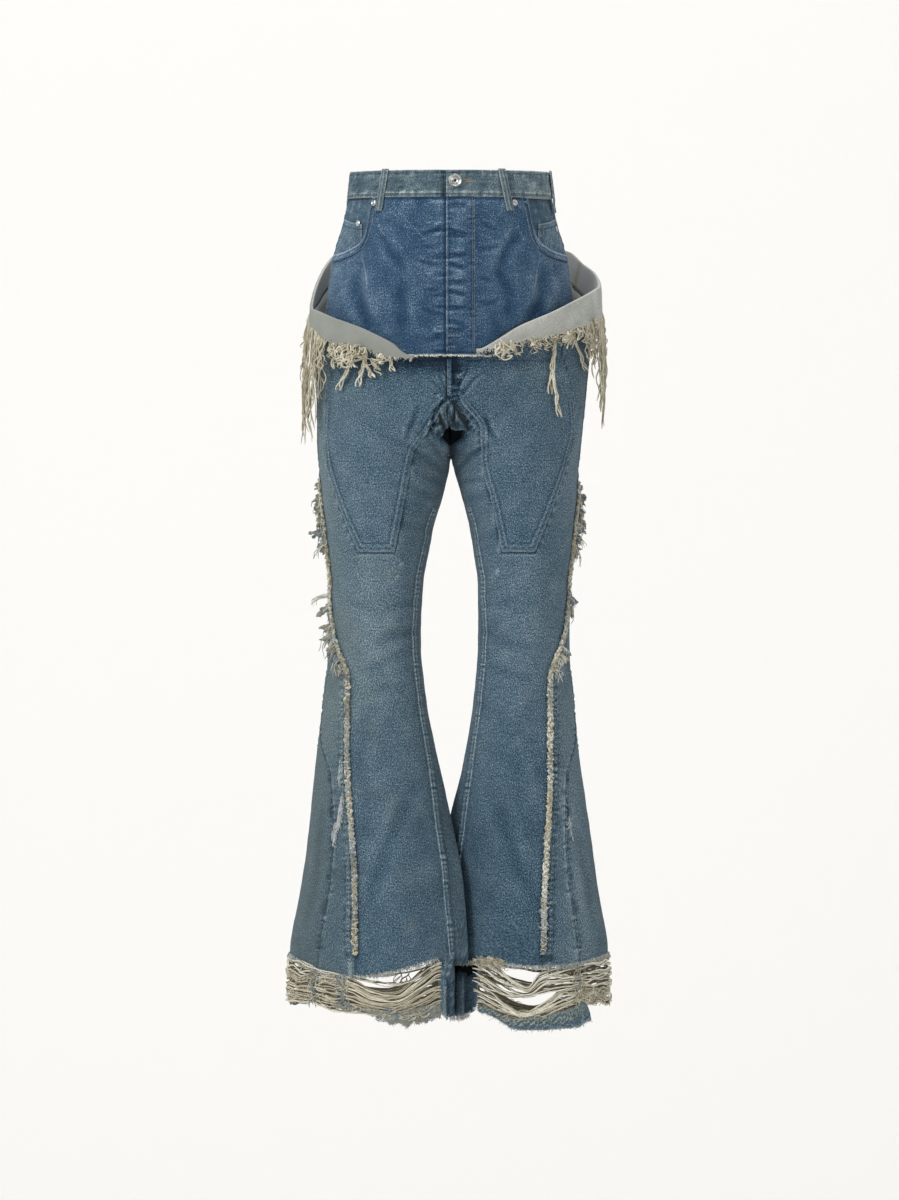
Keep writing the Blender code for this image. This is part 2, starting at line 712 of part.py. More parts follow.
def make_side_panels():
    """Narrow panels beside the frayed seams and the godets that widen the hem."""
    for side in SIDES:
        levels = tuple(z for z in LEVELS if z <= SIDE_PANEL_TOP)

        def split(z, gap, side=side):
            if z > GODET_TOP:
                return back_bound(side, z, gap)
            return side_bound(GODET, z, side, gap)

        def strip(r, c, height, side=side, levels=levels):
            k = round(r * (len(levels) + 1))
            foot_angle = lerp(side_bound(FRAYED, HEM_SIDE, side, 0), split(HEM_SIDE, 0), c)
            foot = hem_height(side, foot_angle)
            z = (list(levels) + [lerp(levels[-1], foot, 0.5), foot])[k]
            low = split(z, SEAM / 2)
            high = side_bound(FRAYED, z, side, -SEAM / 2)
            return leg_point(side, lerp(high, low, c), z, height)
        sheet("side_panel_" + side, strip, len(levels) + 1, 3, DENIM, "faded_denim", lift=-DENIM)

        stops = [z for z in levels if z <= GODET_TOP]

        def godet(r, c, height, side=side, stops=stops):
            k = round(r * (len(stops) + 1))
            foot_angle = lerp(split(HEM_SIDE, 0), back_bound(side, HEM_SIDE, 0), c)
            foot = hem_height(side, foot_angle)
            z = (stops + [lerp(stops[-1], foot, 0.5), foot])[k]
            high = split(z, -SEAM / 2)
            low = back_bound(side, z, SEAM / 2)
            return leg_point(side, lerp(high, low, c), z, height)
        sheet("godet_" + side, godet, len(stops) + 1, 5, DENIM, "faded_denim", lift=-DENIM)


PATCH_TOP = -239.0
PATCH_FOOT = -497.0
PATCH_GAP = 1.5
PATCH = {
    # edges of a thigh patch: distance from the centre at its inner and outer edge
    "left": {"z": (-236, -288, -330, -365, -430, -497),
             "inner": (3, 5, 26, 49, 62, 75.6), "outer": (152, 166, 168, 167, 150, 123)},
    "right": {"z": (-236, -288, -330, -365, -430, -497),
              "inner": (4, 12, 40, 41, 57, 71), "outer": (152, 164, 166, 160, 140, 114)},
}


def angle_at(side, x, z):
    """Front angle of a place x from the centre on a leg section."""
    middle, half = leg_frame(side, z)
    return math.degrees(math.acos(max(min((x - middle) / half, 1.0), -1.0)))


def make_patches():
    """Double-stitched thigh patches and the small gussets beside the crotch seam."""
    for side in SIDES:
        stops = [PATCH_TOP, -262] + [z for z in LEVELS if z > PATCH_FOOT + 9] + [PATCH_FOOT]

        def place(r, c, height, side=side, stops=stops):
            z = stops[round(r * (len(stops) - 1))]
            low = angle_at(side, column(PATCH[side], "inner", z), z)
            low = min(low, inner_angle(side, z, "front") - 1.5)
            high = angle_at(side, column(PATCH[side], "outer", z), z)
            return leg_point(side, lerp(low, high, c), z, height)
        sheet("thigh_patch_" + side, place, len(stops) - 1, 9, DENIM, "faded_denim", lift=PATCH_GAP)


def make_gussets():
    """Crumpled gussets that close the crotch below the centre seam."""
    width = {"left": 24.0, "right": 30.0}
    for side in SIDES:
        def place(r, c, height, side=side):
            z = lerp(-300, -352, r)
            low = inner_angle(side, z, "front") - 1.0
            reach = math.degrees(lerp(3.0, width[side], r) / leg_frame(side, z)[1])
            wave = 1.4 * math.sin(9 * r + (2 if side == "left" else 0)) * math.sin(math.pi * c)
            return leg_point(side, low - reach * c, z, height + OVERLAY + max(wave, 0))
        sheet("crotch_gusset_" + side, place, 5, 3, 1.2, "faded_denim")


# ---------------------------------------------------------------- frayed hems and seams

def make_yarn_bands():
    """Loose weft yarns below the raw hem, with the gaps cut through."""
    for side in SIDES:
        for face in ("front", "back"):
            sign = 1.0 if face == "front" else -1.0

            def place(r, c, height, side=side, sign=sign):
                angle = sign * lerp(0.2, YARN_ANGLE, c)
                top = hem_height(side, angle) - 1.2
                sag = 2.5 * math.sin(0.11 * angle + 2 * r)
                z = lerp(top, YARN_FOOT + sag, r)
                ridge = 1.3 * math.cos(math.pi * YARN_ROWS * r)
                return leg_point(side, angle, z, height + ridge * math.sin(math.pi * r))

            def kept(r, c, side=side, face=face):
                angle = YARN_ANGLE * (c + 0.5) / YARN_COLUMNS
                for name, on, low, high, first, last in YARN_HOLES:
                    if name == side and on == face and low < angle < high and first <= r <= last:
                        return False
                return True
            sheet(f"yarn_band_{face}_{side}", place, YARN_ROWS, YARN_COLUMNS, 1.8, "yarn",
                  lift=-DENIM, kept=kept)


def make_hem_strips():
    """Ragged strips of denim that hang under the loose yarns."""
    for side in SIDES:
        for face in ("front", "back"):
            sign = 1.0 if face == "front" else -1.0
            first, last = STRIP_SPAN[side]

            def place(r, c, height, side=side, sign=sign, first=first, last=last):
                angle = sign * lerp(first, last, c)
                sag = 2.5 * math.sin(0.11 * angle + 2)
                top = YARN_FOOT + sag - SEAM
                foot = STRIP_FOOT[side] + 5 * math.sin(5 * c + 1) ** 2
                foot = lerp(top - 6, foot, math.sin(math.pi * c) ** 0.4)
                return leg_point(side, angle, lerp(top, foot, r), height)
            sheet(f"hem_strip_{face}_{side}", place, 2, 9, DENIM, "faded_denim", lift=-DENIM)


FRAY_TOP = -400.0
FRAY_WIDTH = 8.0
FRAY_THREADS = (-412, -436, -458, -474, -498, -515, -540, -566, -583, -604, -618, -632, -648)


def make_side_frays():
    """Raw strips on the side seams, with loose threads above the knee."""
    for side in SIDES:
        heights = [FRAY_TOP]
        for z in FRAY_THREADS:
            heights += [z + 1.3, z - 1.3]
        heights += list(np.linspace(FRAY_THREADS[-1] - 24, HEM_SIDE + 4, 18))
        path = []
        for z in heights:
            angle = column(FRAYED, "angle", z)
            base = leg_point(side, angle, z, SEAM)
            out = (leg_point(side, angle, z, 5.0) - base).normalized()
            path.append((base, out, leg_frame(side, z)[1], angle, z))
        points = []
        faces = []
        for base, out, half, angle, z in path:
            turn = math.degrees(FRAY_WIDTH / 2 / half)
            for shift, lift in ((turn, OVERLAY), (turn * 0.8, 3.0), (-turn * 0.8, 3.0), (-turn, OVERLAY)):
                points.append(leg_point(side, angle + shift, z, lift))
        rng = np.random.default_rng(7 if side == "left" else 11)
        for s in range(len(path) - 1):
            ring = [4 * s + i for i in range(4)]
            for i in range(4):
                n = (i + 1) % 4
                quad = [ring[i], ring[n], ring[n] + 4, ring[i] + 4]
                if i != 1 or s % 2 == 0 or s >= 2 * len(FRAY_THREADS):
                    faces.append(tuple(quad))
                    continue
                root = sum((points[q] for q in quad), Vector()) / 4
                spokes = [points[q] - root for q in quad]
                out = path[s][1]
                side_way = Vector((SIGN[side], 0, 0))
                length = rng.uniform(12, 30)
                loop = quad
                for k in (1, 2, 3):
                    t = k / 3
                    drop = Vector((0, 0, -length * 0.75 * t * t))
                    step = root + out * (3 * t) + side_way * (length * 0.8 * t) + drop
                    scale = 0.9 - 0.55 * t
                    start = len(points)
                    points.extend(step + spoke * scale for spoke in spokes)
                    fresh = [start + j for j in range(4)]
                    for j in range(4):
                        m = (j + 1) % 4
                        faces.append((loop[j], loop[m], fresh[m], fresh[j]))
                    loop = fresh
                faces.append(tuple(loop))
        last = len(path) - 1
        faces.append((0, 1, 2, 3))
        faces.append(tuple(4 * last + i for i in range(4)))
        add_object("side_fray_" + side, points, faces, "yarn", smooth=False)


STRAND = 2.6          # width of a strand at its root
FRINGES = (
    # name, side, turn from, turn to, strands, shortest, longest, splay, gap below the edge
    ("hip_left", "left", 62, 100, 15, 60, 165, 20, 1.2),
    ("hip_right", "right", 62, 98, 13, 75, 170, 4, 0.9),
    ("front_left", "left", 22, 59, 10, 14, 55, 2, 1.2),
    ("front_right", "right", 20, 59, 10, 12, 50, 2, 1.2),
    ("back_left", "left", 106, 176, 9, 16, 70, 2, 1.2),
    ("back_right", "right", 106, 176, 9, 18, 75, 2, 1.2),
)


def make_fringes():
    """Loose warp threads that hang from the raw edge of the fold."""
    for row, (name, side, first, last, count, short, long, splay, gap) in enumerate(FRINGES):
        half_root = math.degrees(STRAND / 2 / RIM_HALF[side])
        turns = [turn for middle in np.linspace(first, last, count)
                 for turn in (middle - half_root, middle + half_root)]
        path = []
        outward = []
        for turn in turns:
            rim, out = rim_base(side, turn)
            edge = fold_section(side, turn)[-1]
            edge = edge - out * 1.0
            edge.z = rim_row(side, turn, "raw") - gap
            path.append(edge)
            outward.append(out)
        rng = np.random.default_rng(31 + row)
        strands = []
        for k in range(count):
            segment = 2 * k
            middle = (path[segment] + path[segment + 1]) / 2 + outward[segment] * 1.0
            middle.z -= 3.0
            length = lerp(short, long, rng.uniform(0, 1) ** 0.8)
            steps = 4 if length > 80 else 2
            drift = wander(97 * row + k, steps, min(3.2, length * 0.05))
            line = []
            for s in range(steps):
                t = (s + 1) / steps
                fall = Vector((0, 0, -length * t))
                out = outward[segment] * (splay * t * (1 - 0.35 * t))
                line.append(middle + fall + out + drift[s])
            strands.append((segment, "down", line))
        fringe("fringe_" + name, path, outward, 3.0, 2.0, strands, "yarn")


def main():
    for stray in list(bpy.data.objects):
        bpy.data.objects.remove(stray, do_unlink=True)
    make_waistband()
    make_belt_loops()
    make_upper_fronts()
    make_fly()
    make_pockets()
    make_yokes()
    make_button()
    make_rivets()
    make_flaps()
    make_legs()
    make_side_panels()
    make_patches()
    make_gussets()
    make_yarn_bands()
    make_hem_strips()
    make_side_frays()
    make_fringes()


main()
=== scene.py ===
"""Looks of the bootcut jeans: fine cloth shells, yarns, stitches and materials on the frame.

Lengths in this script are millimetres until a mesh is made. Left is -X, right is +X.
"""
import math

import bpy
import numpy as np
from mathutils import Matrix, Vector


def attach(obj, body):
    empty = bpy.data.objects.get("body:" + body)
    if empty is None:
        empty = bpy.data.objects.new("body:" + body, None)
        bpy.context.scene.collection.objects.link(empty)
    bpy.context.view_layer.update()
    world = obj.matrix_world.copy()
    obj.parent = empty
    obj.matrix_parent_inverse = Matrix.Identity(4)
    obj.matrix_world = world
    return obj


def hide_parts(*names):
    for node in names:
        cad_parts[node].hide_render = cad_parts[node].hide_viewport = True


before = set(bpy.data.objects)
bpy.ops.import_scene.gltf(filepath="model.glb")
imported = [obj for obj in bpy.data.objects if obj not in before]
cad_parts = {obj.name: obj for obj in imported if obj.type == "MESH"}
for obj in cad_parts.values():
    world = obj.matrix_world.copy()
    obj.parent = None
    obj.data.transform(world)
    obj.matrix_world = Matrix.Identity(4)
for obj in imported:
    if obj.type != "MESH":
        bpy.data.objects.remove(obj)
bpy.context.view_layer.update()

MM = 0.001
UP = np.array([0.0, 0.0, 1.0])
LEAST_FLAT = 0.0101       # metres, least side given to a sheet's flat size
SEAM = 0.3
DENIM = 1.5
BAND = 2.6
SIDES = ("left", "right")
SIGN = {"left": -1.0, "right": 1.0}

# ------------------------------------------------------------------ sizes shared with the solids

UPPER = {
    "z": (18, -19, -55, -95, -157, -235),
    "half": (134, 138, 146, 157.5, 166, 171),
    "front": (96, 99, 103, 106, 108, 108),
    "back": (98, 102, 110, 119, 127, 131),
}
WAIST_TOP = 17.5
WAIST_SEAM = -19.0
UPPER_HEM = -232.0

LEG_BOTH = {
    "z": (-80, -160, -232, -290, -345, -379, -420, -460, -501, -541, -622, -703, -784, -865,
          -946, -1041, -1145),
    "front": (111, 106, 103.6, 101.6, 99, 95, 88, 82, 77, 72, 66, 67, 71, 76, 80, 81, 81),
    "back": (134, 138, 138, 134, 124, 112, 100, 92, 85, 78, 70, 72, 76, 79, 81, 82, 82),
    "pinch": (1,) * 12 + (1.2, 1.7, 2.2, 2.3, 2.3),
}
LEG = {
    "left": {
        **LEG_BOTH,
        "outer": (178, 187, 184.5, 181, 180.5, 178, 175, 170.5, 167.5, 164.7, 164.7, 171.5,
                  182.3, 190.4, 201.2, 217.4, 219),
        "inner": (0.2, 0.2, 0.2, 0.2, 0.2, 1, 9, 21.6, 29.7, 36.5, 39.1, 31.1, 14.9, -4,
                  -20.2, -27, -27),
        "fore": (0, 0, 0, 0, 1, 2, 1, 0, -1, -2, -3, 0, 4, 5, 4, 4, 4),
        "swing": (0, 0, 0, 0, 0, 0, 0, 0, 0, 0, 0, 0, -2, -11, -31, -36, -36),
    },
    "right": {
        **LEG_BOTH,
        "outer": (186, 194, 189, 184, 178.5, 174.5, 173.5, 170.2, 167.4, 163.4, 162, 167.4,
                  176.9, 189, 199.8, 214.6, 217),
        "inner": (0.2, 0.2, 0.2, 0.2, 0.2, 5, 15.5, 25.7, 32.4, 37.8, 37.8, 31, 17.5, -2.7,
                  -17.6, -27, -27),
        "fore": (0, 0, 0, 0, 1, 2, 1, 0, -1, -2, -3, 2, 8, 12, 14, 14, 14),
        "swing": (0, 0, 0, 0, 0, 0, 0, 0, 0, 0, 0, 0, 2, 11, 31, 36, 36),
    },
}
FORK_TOP = -285.0
FORK_DROP = 81.0
TIP_HALF = 2.2

FOLDS = {
    # z from, angle from, z to, angle to, half width, depth
    "left": (
        (-345, 112, -300, 62, 20, 3.2), (-392, 150, -345, 86, 21, 3.0), (-455, 158, -430, 112, 21, 2.2),
        (-590, 150, -650, 96, 26, 2.6), (-610, -160, -640, -60, 28, 4.0),
        (-400, -158, -352, -84, 26, 4.0), (-575, -150, -552, -80, 24, 2.6),
    ),
    "right": (
        (-340, 110, -292, 66, 20, 3.0), (-388, 148, -352, 90, 21, 3.4), (-462, 156, -440, 116, 21, 2.0),
        (-600, 148, -640, 92, 26, 2.4), (-618, -160, -590, -60, 28, 3.6),
        (-404, -158, -350, -80, 26, 4.2), (-660, -150, -676, -80, 24, 2.8),
    ),
}
FRAYED = {
    "z": (-80, -400, -507, -575, -615, -645, -665, -705, -830, -900, -1041),
    "angle": (4, 9, 18, 23, 34, 50, 57, 59, 64, 68, 75),
}
GODET = {"z": (-703, -745, -800, -900, -1041), "angle": (-3, 15, 43, 50, 48)}
BACK_SEAM = {"z": (-610, -660, -703, -900, -1041), "angle": (31.4, 12, -4, -24, -30)}
SIDE_PANEL_TOP = -610.0
GODET_TOP = -703.0

RIM = {
    "left": {
        "turn": (12, 17, 27, 41, 58, 70, 90, 105, 115, 125, 150, 180),
        "rim": (-230, -228.5, -212.6, -194.4, -181, -173, -164, -134, -109, -90.5, -78, -75.6),
        "raw": (-236, -237, -234, -219, -213, -202, -179, -168, -150, -132, -120, -117),
        "seam": (-218, -222, -229.5, -214, -205, -194, -174, -160, -140, -122, -108, -105),
    },
    "right": {
        "turn": (12, 17, 28, 42, 58, 75, 88, 105, 117, 127, 150, 180),
        "rim": (-222, -214.5, -193, -175.5, -157, -143, -136.5, -118, -105, -88, -77, -75.6),
        "raw": (-228, -222, -214, -206, -194, -183, -178, -167, -150, -132, -120, -117),
        "seam": (-218, -218, -209, -199, -186, -172, -166, -156, -140, -122, -108, -105),
    },
}
RIM_HALF = {"left": 187.6, "right": 202.5}
RIM_FRONT = 114.0
RIM_BACK = 141.0
RIM_START = {"left": 15.0, "right": 10.0}
LAP_TURN = (22.0, 34.0)

HEM_SIDE = -1041.0
HEM_DIP = {"left": 28.0, "right": 16.0}
HEM_TAIL = -1117.0
TAIL_ANGLE = {"left": 131.0, "right": 118.0}
YARN_ANGLE = {"left": 132.5, "right": 121.0}

LAP_AT = -5.0
LAP_WIDTH = 30.0
FLY_EDGE = 33.0
FACING = -4.2
POCKET = {
    "x": (5, 40, 75, 104, 107.5, 111, 115, 122, 133, 143, 151, 156, 158),
    "top": (-19, -19, -19, -19, -31, -52, -70, -81, -88, -92, -94, -95, -95),
}
PATCH_TOP = -239.0
PATCH_FOOT = -497.0
PATCH_RISE = 0.4
PATCH_Z = (-236, -288, -330, -365, -430, -497)
PATCH = {
    "left": {"z": PATCH_Z, "inner": (3, 5, 26, 49, 62, 75.6), "outer": (152, 166, 168, 167, 150, 123)},
    "right": {"z": PATCH_Z, "inner": (4, 12, 40, 41, 57, 71), "outer": (152, 164, 166, 160, 140, 114)},
}
FLARE_TOP = -640.0
LEVELS_FOOT = -990.0


# ------------------------------------------------------------------ curves through the tables

TRACKS = {}
TRACK_STEPS = 1500


def track(table, name, at):
    """Smooth value of a table's column at an array of heights or angles."""
    key = (id(table), name)
    if key not in TRACKS:
        xs = np.array(table["z"] if "z" in table else table["turn"], dtype=float)
        vs = np.array(table[name], dtype=float)
        if xs[0] > xs[-1]:
            xs, vs = xs[::-1], vs[::-1]
        slopes = np.diff(vs) / np.diff(xs)
        tangents = np.zeros(len(xs))
        tangents[0] = slopes[0]
        tangents[-1] = slopes[-1]
        for i in range(1, len(xs) - 1):
            if slopes[i - 1] * slopes[i] > 0:
                tangents[i] = 2 * slopes[i - 1] * slopes[i] / (slopes[i - 1] + slopes[i])
        dense = np.linspace(xs[0], xs[-1], TRACK_STEPS)
        k = np.clip(np.searchsorted(xs, dense) - 1, 0, len(xs) - 2)
        h = xs[k + 1] - xs[k]
        t = (dense - xs[k]) / h
        value = ((1 + 2 * t) * (1 - t) ** 2 * vs[k] + t * (1 - t) ** 2 * h * tangents[k]
                 + t * t * (3 - 2 * t) * vs[k + 1] + t * t * (t - 1) * h * tangents[k + 1])
        TRACKS[key] = (dense, value)
    dense, value = TRACKS[key]
    return np.interp(at, dense, value)


def blend(x, low, high):
    t = np.clip((x - low) / (high - low), 0.0, 1.0)
    return t * t * (3 - 2 * t)


def lerp(a, b, t):
    return a + (b - a) * t


def points(x, y, z):
    return np.stack(np.broadcast_arrays(x, y, z), axis=-1).astype(float)


def together(*values):
    """The values as float arrays of one shape."""
    return np.broadcast_arrays(*(np.asarray(value, float) for value in values))


def unit(vectors):
    return vectors / np.maximum(np.linalg.norm(vectors, axis=-1, keepdims=True), 1e-12)


def grid(rows, cols, left=0.0):
    """Share of the way down, as a column, and from left to 1 across, as a row."""
    return np.linspace(0, 1, rows)[:, None], np.linspace(left, 1, cols)[None, :]


def bump(x, middle, width):
    """Bell of height 1 round the middle."""
    return np.exp(-((x - middle) / width) ** 2)


def marks(x, *rows):
    """Sum of bells over x; rows are (strength, middle, half width)."""
    return sum(strength * bump(x, middle, width) for strength, middle, width in rows)


def spots(a, b, *rows):
    """Sum of soft spots; rows are (strength, middle and half width in a, then in b)."""
    return sum(strength * bump(a, middle_a, wide) * bump(b, middle_b, high)
               for strength, middle_a, wide, middle_b, high in rows)


def waves(a, b, seed, longest, count=5):
    """Soft uneven hills of height about 1 over two coordinates in millimetres."""
    rng = np.random.default_rng(seed)
    total = 0.0
    for k in range(count):
        length = longest * 0.72 ** k
        turn = rng.uniform(0, math.pi)
        shift = rng.uniform(0, 2 * math.pi, 2)
        along = (a * math.cos(turn) + b * math.sin(turn)) * 2 * math.pi / length
        over = (b * math.cos(turn) - a * math.sin(turn)) * 2 * math.pi / (length * 1.9)
        total = total + np.sin(along + shift[0]) * np.cos(over + shift[1]) * 0.8 ** k
    return total / 2.2


def crease(a, b, start, end, width, depth, sharp=1.0):
    """Trough from start to end with soft banks beside it, in (a, b) coordinates."""
    ax, bx = end[0] - start[0], end[1] - start[1]
    span = math.hypot(ax, bx)
    t = ((a - start[0]) * ax + (b - start[1]) * bx) / span ** 2
    away = ((a - start[0]) * bx - (b - start[1]) * ax) / span
    away = away + 0.25 * width * np.sin(t * 7.0 + start[0])
    fade = blend(t, -0.08, 0.25) * (1 - blend(t, 0.7, 1.08))
    u = away / width
    return depth * fade * (-np.exp(-(u * sharp) ** 2) + 0.55 * np.exp(-((np.abs(u) - 1.5) / 0.9) ** 2))


def creases(a, b, rows):
    """Sum of creases; rows are (a from, b from, a to, b to, half width, depth)."""
    return sum(crease(a, b, row[:2], row[2:4], row[4], row[5]) for row in rows)


def wear_and_shade_lines(x, z, rows, width=1.3):
    """1 along thin lines, for worn lines and painted shade lines; rows are (start, end) in x and z."""
    return sum(bump(crease(x, z, start, end, width, 1.0), -1.0, 0.45) for start, end in rows)


def pucker(run, away, width, period, size, seed=0.0):
    """Short uneven ripples across a seam that die away beside it."""
    drift = np.sin(run * 0.061 + seed) + 0.6 * np.sin(run * 0.127 + 2 * seed)
    ripple = 0.62 * np.sin(2 * math.pi * run / period + 2.4 * drift)
    ripple = ripple + 0.5 * np.sin(2 * math.pi * run / (0.57 * period) - 3.1 * drift + seed)
    ripple = ripple * (0.62 + 0.38 * np.sin(run * 0.19 + 5 * seed + drift))
    return 1.25 * size * np.exp(-(away / width) ** 2) * ripple


# ------------------------------------------------------------------ surfaces

def lifted(surface, u, z, lift, middle):
    """Points of surface(u, z) moved out along the normal by lift."""
    here = surface(u, z)
    across = surface(u + 0.4, z) - surface(u - 0.4, z)
    down = surface(u, z - 1.0) - surface(u, z + 1.0)
    normal = unit(np.cross(across, down))
    facing = np.sum(normal * (here - middle(z)), axis=-1, keepdims=True)
    return here + np.where(facing < 0, -normal, normal) * np.asarray(lift)[..., None]


def upper_base(turn, z):
    half = track(UPPER, "half", z)
    angle = np.radians(turn)
    depth = np.where(np.cos(angle) > 0, track(UPPER, "front", z), track(UPPER, "back", z))
    return points(half * np.sin(angle), -depth * np.cos(angle), z)


def upper_point(turn, z, lift=0.0):
    turn, z, lift = together(turn, z, lift)
    return lifted(upper_base, turn, z, lift, lambda level: points(0.0, 0.0, level))


def turn_at(x, z):
    return np.degrees(np.arcsin(np.clip(x / track(UPPER, "half", z), -1, 1)))


def fork_angle(z):
    return 90.0 + np.degrees(np.arcsin(np.clip((FORK_TOP - z) / FORK_DROP, 0.0, 1.0)))


def leg_frame(side, z):
    outer = track(LEG[side], "outer", z)
    inner = track(LEG[side], "inner", z)
    half = (outer - inner) / (1.0 - np.cos(np.radians(fork_angle(z))))
    return outer - half, half


def reach_of(side, z):
    """Millimetres of cloth to one degree round a leg."""
    return math.pi * leg_frame(side, z)[1] / 180.0


def degrees_of(side, length, z):
    """Degrees round a leg that a length of cloth takes."""
    return np.degrees(length / leg_frame(side, z)[1])


def leg_x(side, angle, z):
    middle, half = leg_frame(side, z)
    return SIGN[side] * (middle + half * np.cos(np.radians(angle)))


def angle_at(side, x, z):
    """Angle of the front of a leg at a distance x from the middle of the body."""
    middle, half = leg_frame(side, z)
    return np.degrees(np.arccos(np.clip((x - middle) / half, -1.0, 1.0)))


def inner_angle(side, z, face):
    depth = track(LEG[side], face, z)
    pinch = track(LEG[side], "pinch", z)
    tip = np.degrees(np.arcsin(np.minimum((TIP_HALF / depth) ** (1.0 / pinch), 0.9)))
    return np.minimum(fork_angle(z), 180.0 - tip)


def fold_depth(side, angle, z):
    """How far the large folds draw the cloth in."""
    depth = 0.0
    reach = reach_of(side, z)
    for z0, a0, z1, a1, width, deep in FOLDS[side]:
        ax, az = (a1 - a0) * reach, z1 - z0
        rx, rz = (angle - a0) * reach, z - z0
        t = np.clip((rx * ax + rz * az) / (ax * ax + az * az), 0, 1)
        away = np.hypot(rx - ax * t, rz - az * t) / width
        depth = depth + deep * np.exp(-away ** 2) * (0.45 + 0.55 * np.sin(math.pi * (0.15 + 0.7 * t)))
    return depth


def leg_base(side, angle, z):
    table = LEG[side]
    middle, half = leg_frame(side, z)
    phi = np.radians(angle)
    pinch = np.where(np.cos(phi) < 0, track(table, "pinch", z), 1.0)
    depth = np.where(angle > 0, track(table, "front", z), track(table, "back", z))
    reach = np.abs(np.sin(phi)) ** (1 + (pinch - 1) * blend(-np.cos(phi), 0.0, 0.35))
    pull = fold_depth(side, angle, z)
    swing = track(table, "swing", z) * ((1 - np.cos(phi)) / 2) ** 2
    x = middle + (half - pull) * np.cos(phi)
    y = -np.sign(angle) * np.maximum(depth * reach - pull * np.abs(np.sin(phi)), 0.0)
    return points(SIGN[side] * x, y + track(table, "fore", z) + swing, z)


def leg_point(side, angle, z, lift=0.0):
    angle, z, lift = together(angle, z, lift)

    def middle(level):
        return points(SIGN[side] * leg_frame(side, level)[0], track(LEG[side], "fore", level), level)
    return lifted(lambda a, b: leg_base(side, a, b), angle, z, lift, middle)


def outward_at(side, angle, z):
    """Unit direction out of a leg."""
    return unit(leg_point(side, angle, z, 6.0) - leg_point(side, angle, z))


def hem_height(side, angle):
    dip = np.where(np.asarray(angle) > 0, HEM_DIP[side], HEM_DIP["right"])
    edge = HEM_SIDE - dip * np.sin(np.radians(np.minimum(np.abs(angle), 150.0) * 1.2)) ** 2
    x = SIGN[side] * (94.5 + 121.5 * np.cos(np.radians(angle)))
    tail = HEM_TAIL - 9.0 + 14.0 * np.clip((x - 8.0) / 30.0, -0.9, 0.9) ** 2
    return edge + (tail - edge) * blend(np.abs(angle), TAIL_ANGLE[side] - 1, TAIL_ANGLE[side] + 1)


def rim_base(side, turn):
    angle = np.radians(turn)
    half = RIM_HALF[side]
    depth = np.where(np.asarray(turn) < 90, RIM_FRONT, RIM_BACK)
    place = points(SIGN[side] * half * np.sin(angle), -depth * np.cos(angle), 0.0)
    out = points(SIGN[side] * depth * np.sin(angle), -half * np.cos(angle), 0.0)
    return place, out / np.linalg.norm(out, axis=-1, keepdims=True)


def rim_row(side, turn, name):
    """Height of the fold's rim, raw edge or seam; the fold runs out thin at the front."""
    height = track(RIM[side], name, turn)
    if name == "rim":
        thin = track(RIM[side], "raw", turn) + 3.2
        height = lerp(np.minimum(thin, height), height, blend(turn, RIM_START[side], RIM_START[side] + 9))
    return height


def upper_hem(turn):
    total = 0.0
    for side, share in (("right", np.asarray(turn) > 0), ("left", np.asarray(turn) <= 0)):
        rim = rim_row(side, np.maximum(np.abs(turn), RIM[side]["turn"][0]), "rim")
        drop = (6 + 34 * blend(np.abs(turn), 36, 62) - 16 * blend(np.abs(turn), 100, 140))
        edge = np.maximum(lerp(UPPER_HEM, rim - drop, blend(np.abs(turn), 15, 20)), UPPER_HEM)
        total = total + np.where(share, edge, 0.0)
    return total


def layer_top(side, angle):
    return rim_row(side, np.maximum(90 - angle, RIM[side]["turn"][0]), "seam") - SEAM


def side_bound(table, z, side, gap):
    """Angle of a seam of a leg, gap millimetres in front of it."""
    return track(table, "angle", z) + degrees_of(side, gap, z)


def back_bound(side, z, gap):
    return np.where(z > SIDE_PANEL_TOP, side_bound(FRAYED, z, side, gap),
                    side_bound(BACK_SEAM, z, side, gap))


# ------------------------------------------------------------------ materials

def node(tree, kind, **settings):
    made = tree.nodes.new(kind)
    for name, value in settings.items():
        setattr(made, name, value)
    return made


def set_inputs(made, **values):
    """Values of a node's sockets, with _ for the spaces in their names."""
    for name, value in values.items():
        made.inputs[name.replace("_", " ")].default_value = value


def new_material(name, **values):
    """Material, its node tree and its shader with values on the sockets."""
    made = bpy.data.materials.new(name)
    made.use_nodes = True
    shader = made.node_tree.nodes["Principled BSDF"]
    set_inputs(shader, **values)
    return made, made.node_tree, shader


def combine(tree, kind, a, b, clamp=False):
    """Math node over two sockets or numbers."""
    made = node(tree, "ShaderNodeMath", operation=kind, use_clamp=clamp)
    for socket, value in zip(made.inputs, (a, b)):
        if isinstance(value, (int, float)):
            socket.default_value = value
        else:
            tree.links.new(value, socket)
    return made.outputs[0]


def attribute(tree, name):
    return node(tree, "ShaderNodeAttribute", attribute_name=name).outputs["Fac"]


def noise_at(tree, place, scale, detail=2.0, rough=0.5, dimensions="3D"):
    noise = node(tree, "ShaderNodeTexNoise", noise_dimensions=dimensions)
    set_inputs(noise, Scale=scale, Detail=detail, Roughness=rough)
    tree.links.new(place, noise.inputs["Vector"])
    return noise.outputs["Fac"]


def scaled(tree, place, scale, turn=0.0):
    mapping = node(tree, "ShaderNodeMapping")
    set_inputs(mapping, Scale=scale, Rotation=(0, 0, turn))
    tree.links.new(place, mapping.inputs["Vector"])
    return mapping.outputs[0]


def cloth_noise(tree, uv, size_u, size_v, detail, rough):
    """Noise whose grain is size_u by size_v millimetres on the cloth."""
    place = scaled(tree, uv, (1000.0 / size_u, 1000.0 / size_v, 1.0))
    return noise_at(tree, place, 1.0, detail, rough, "2D")


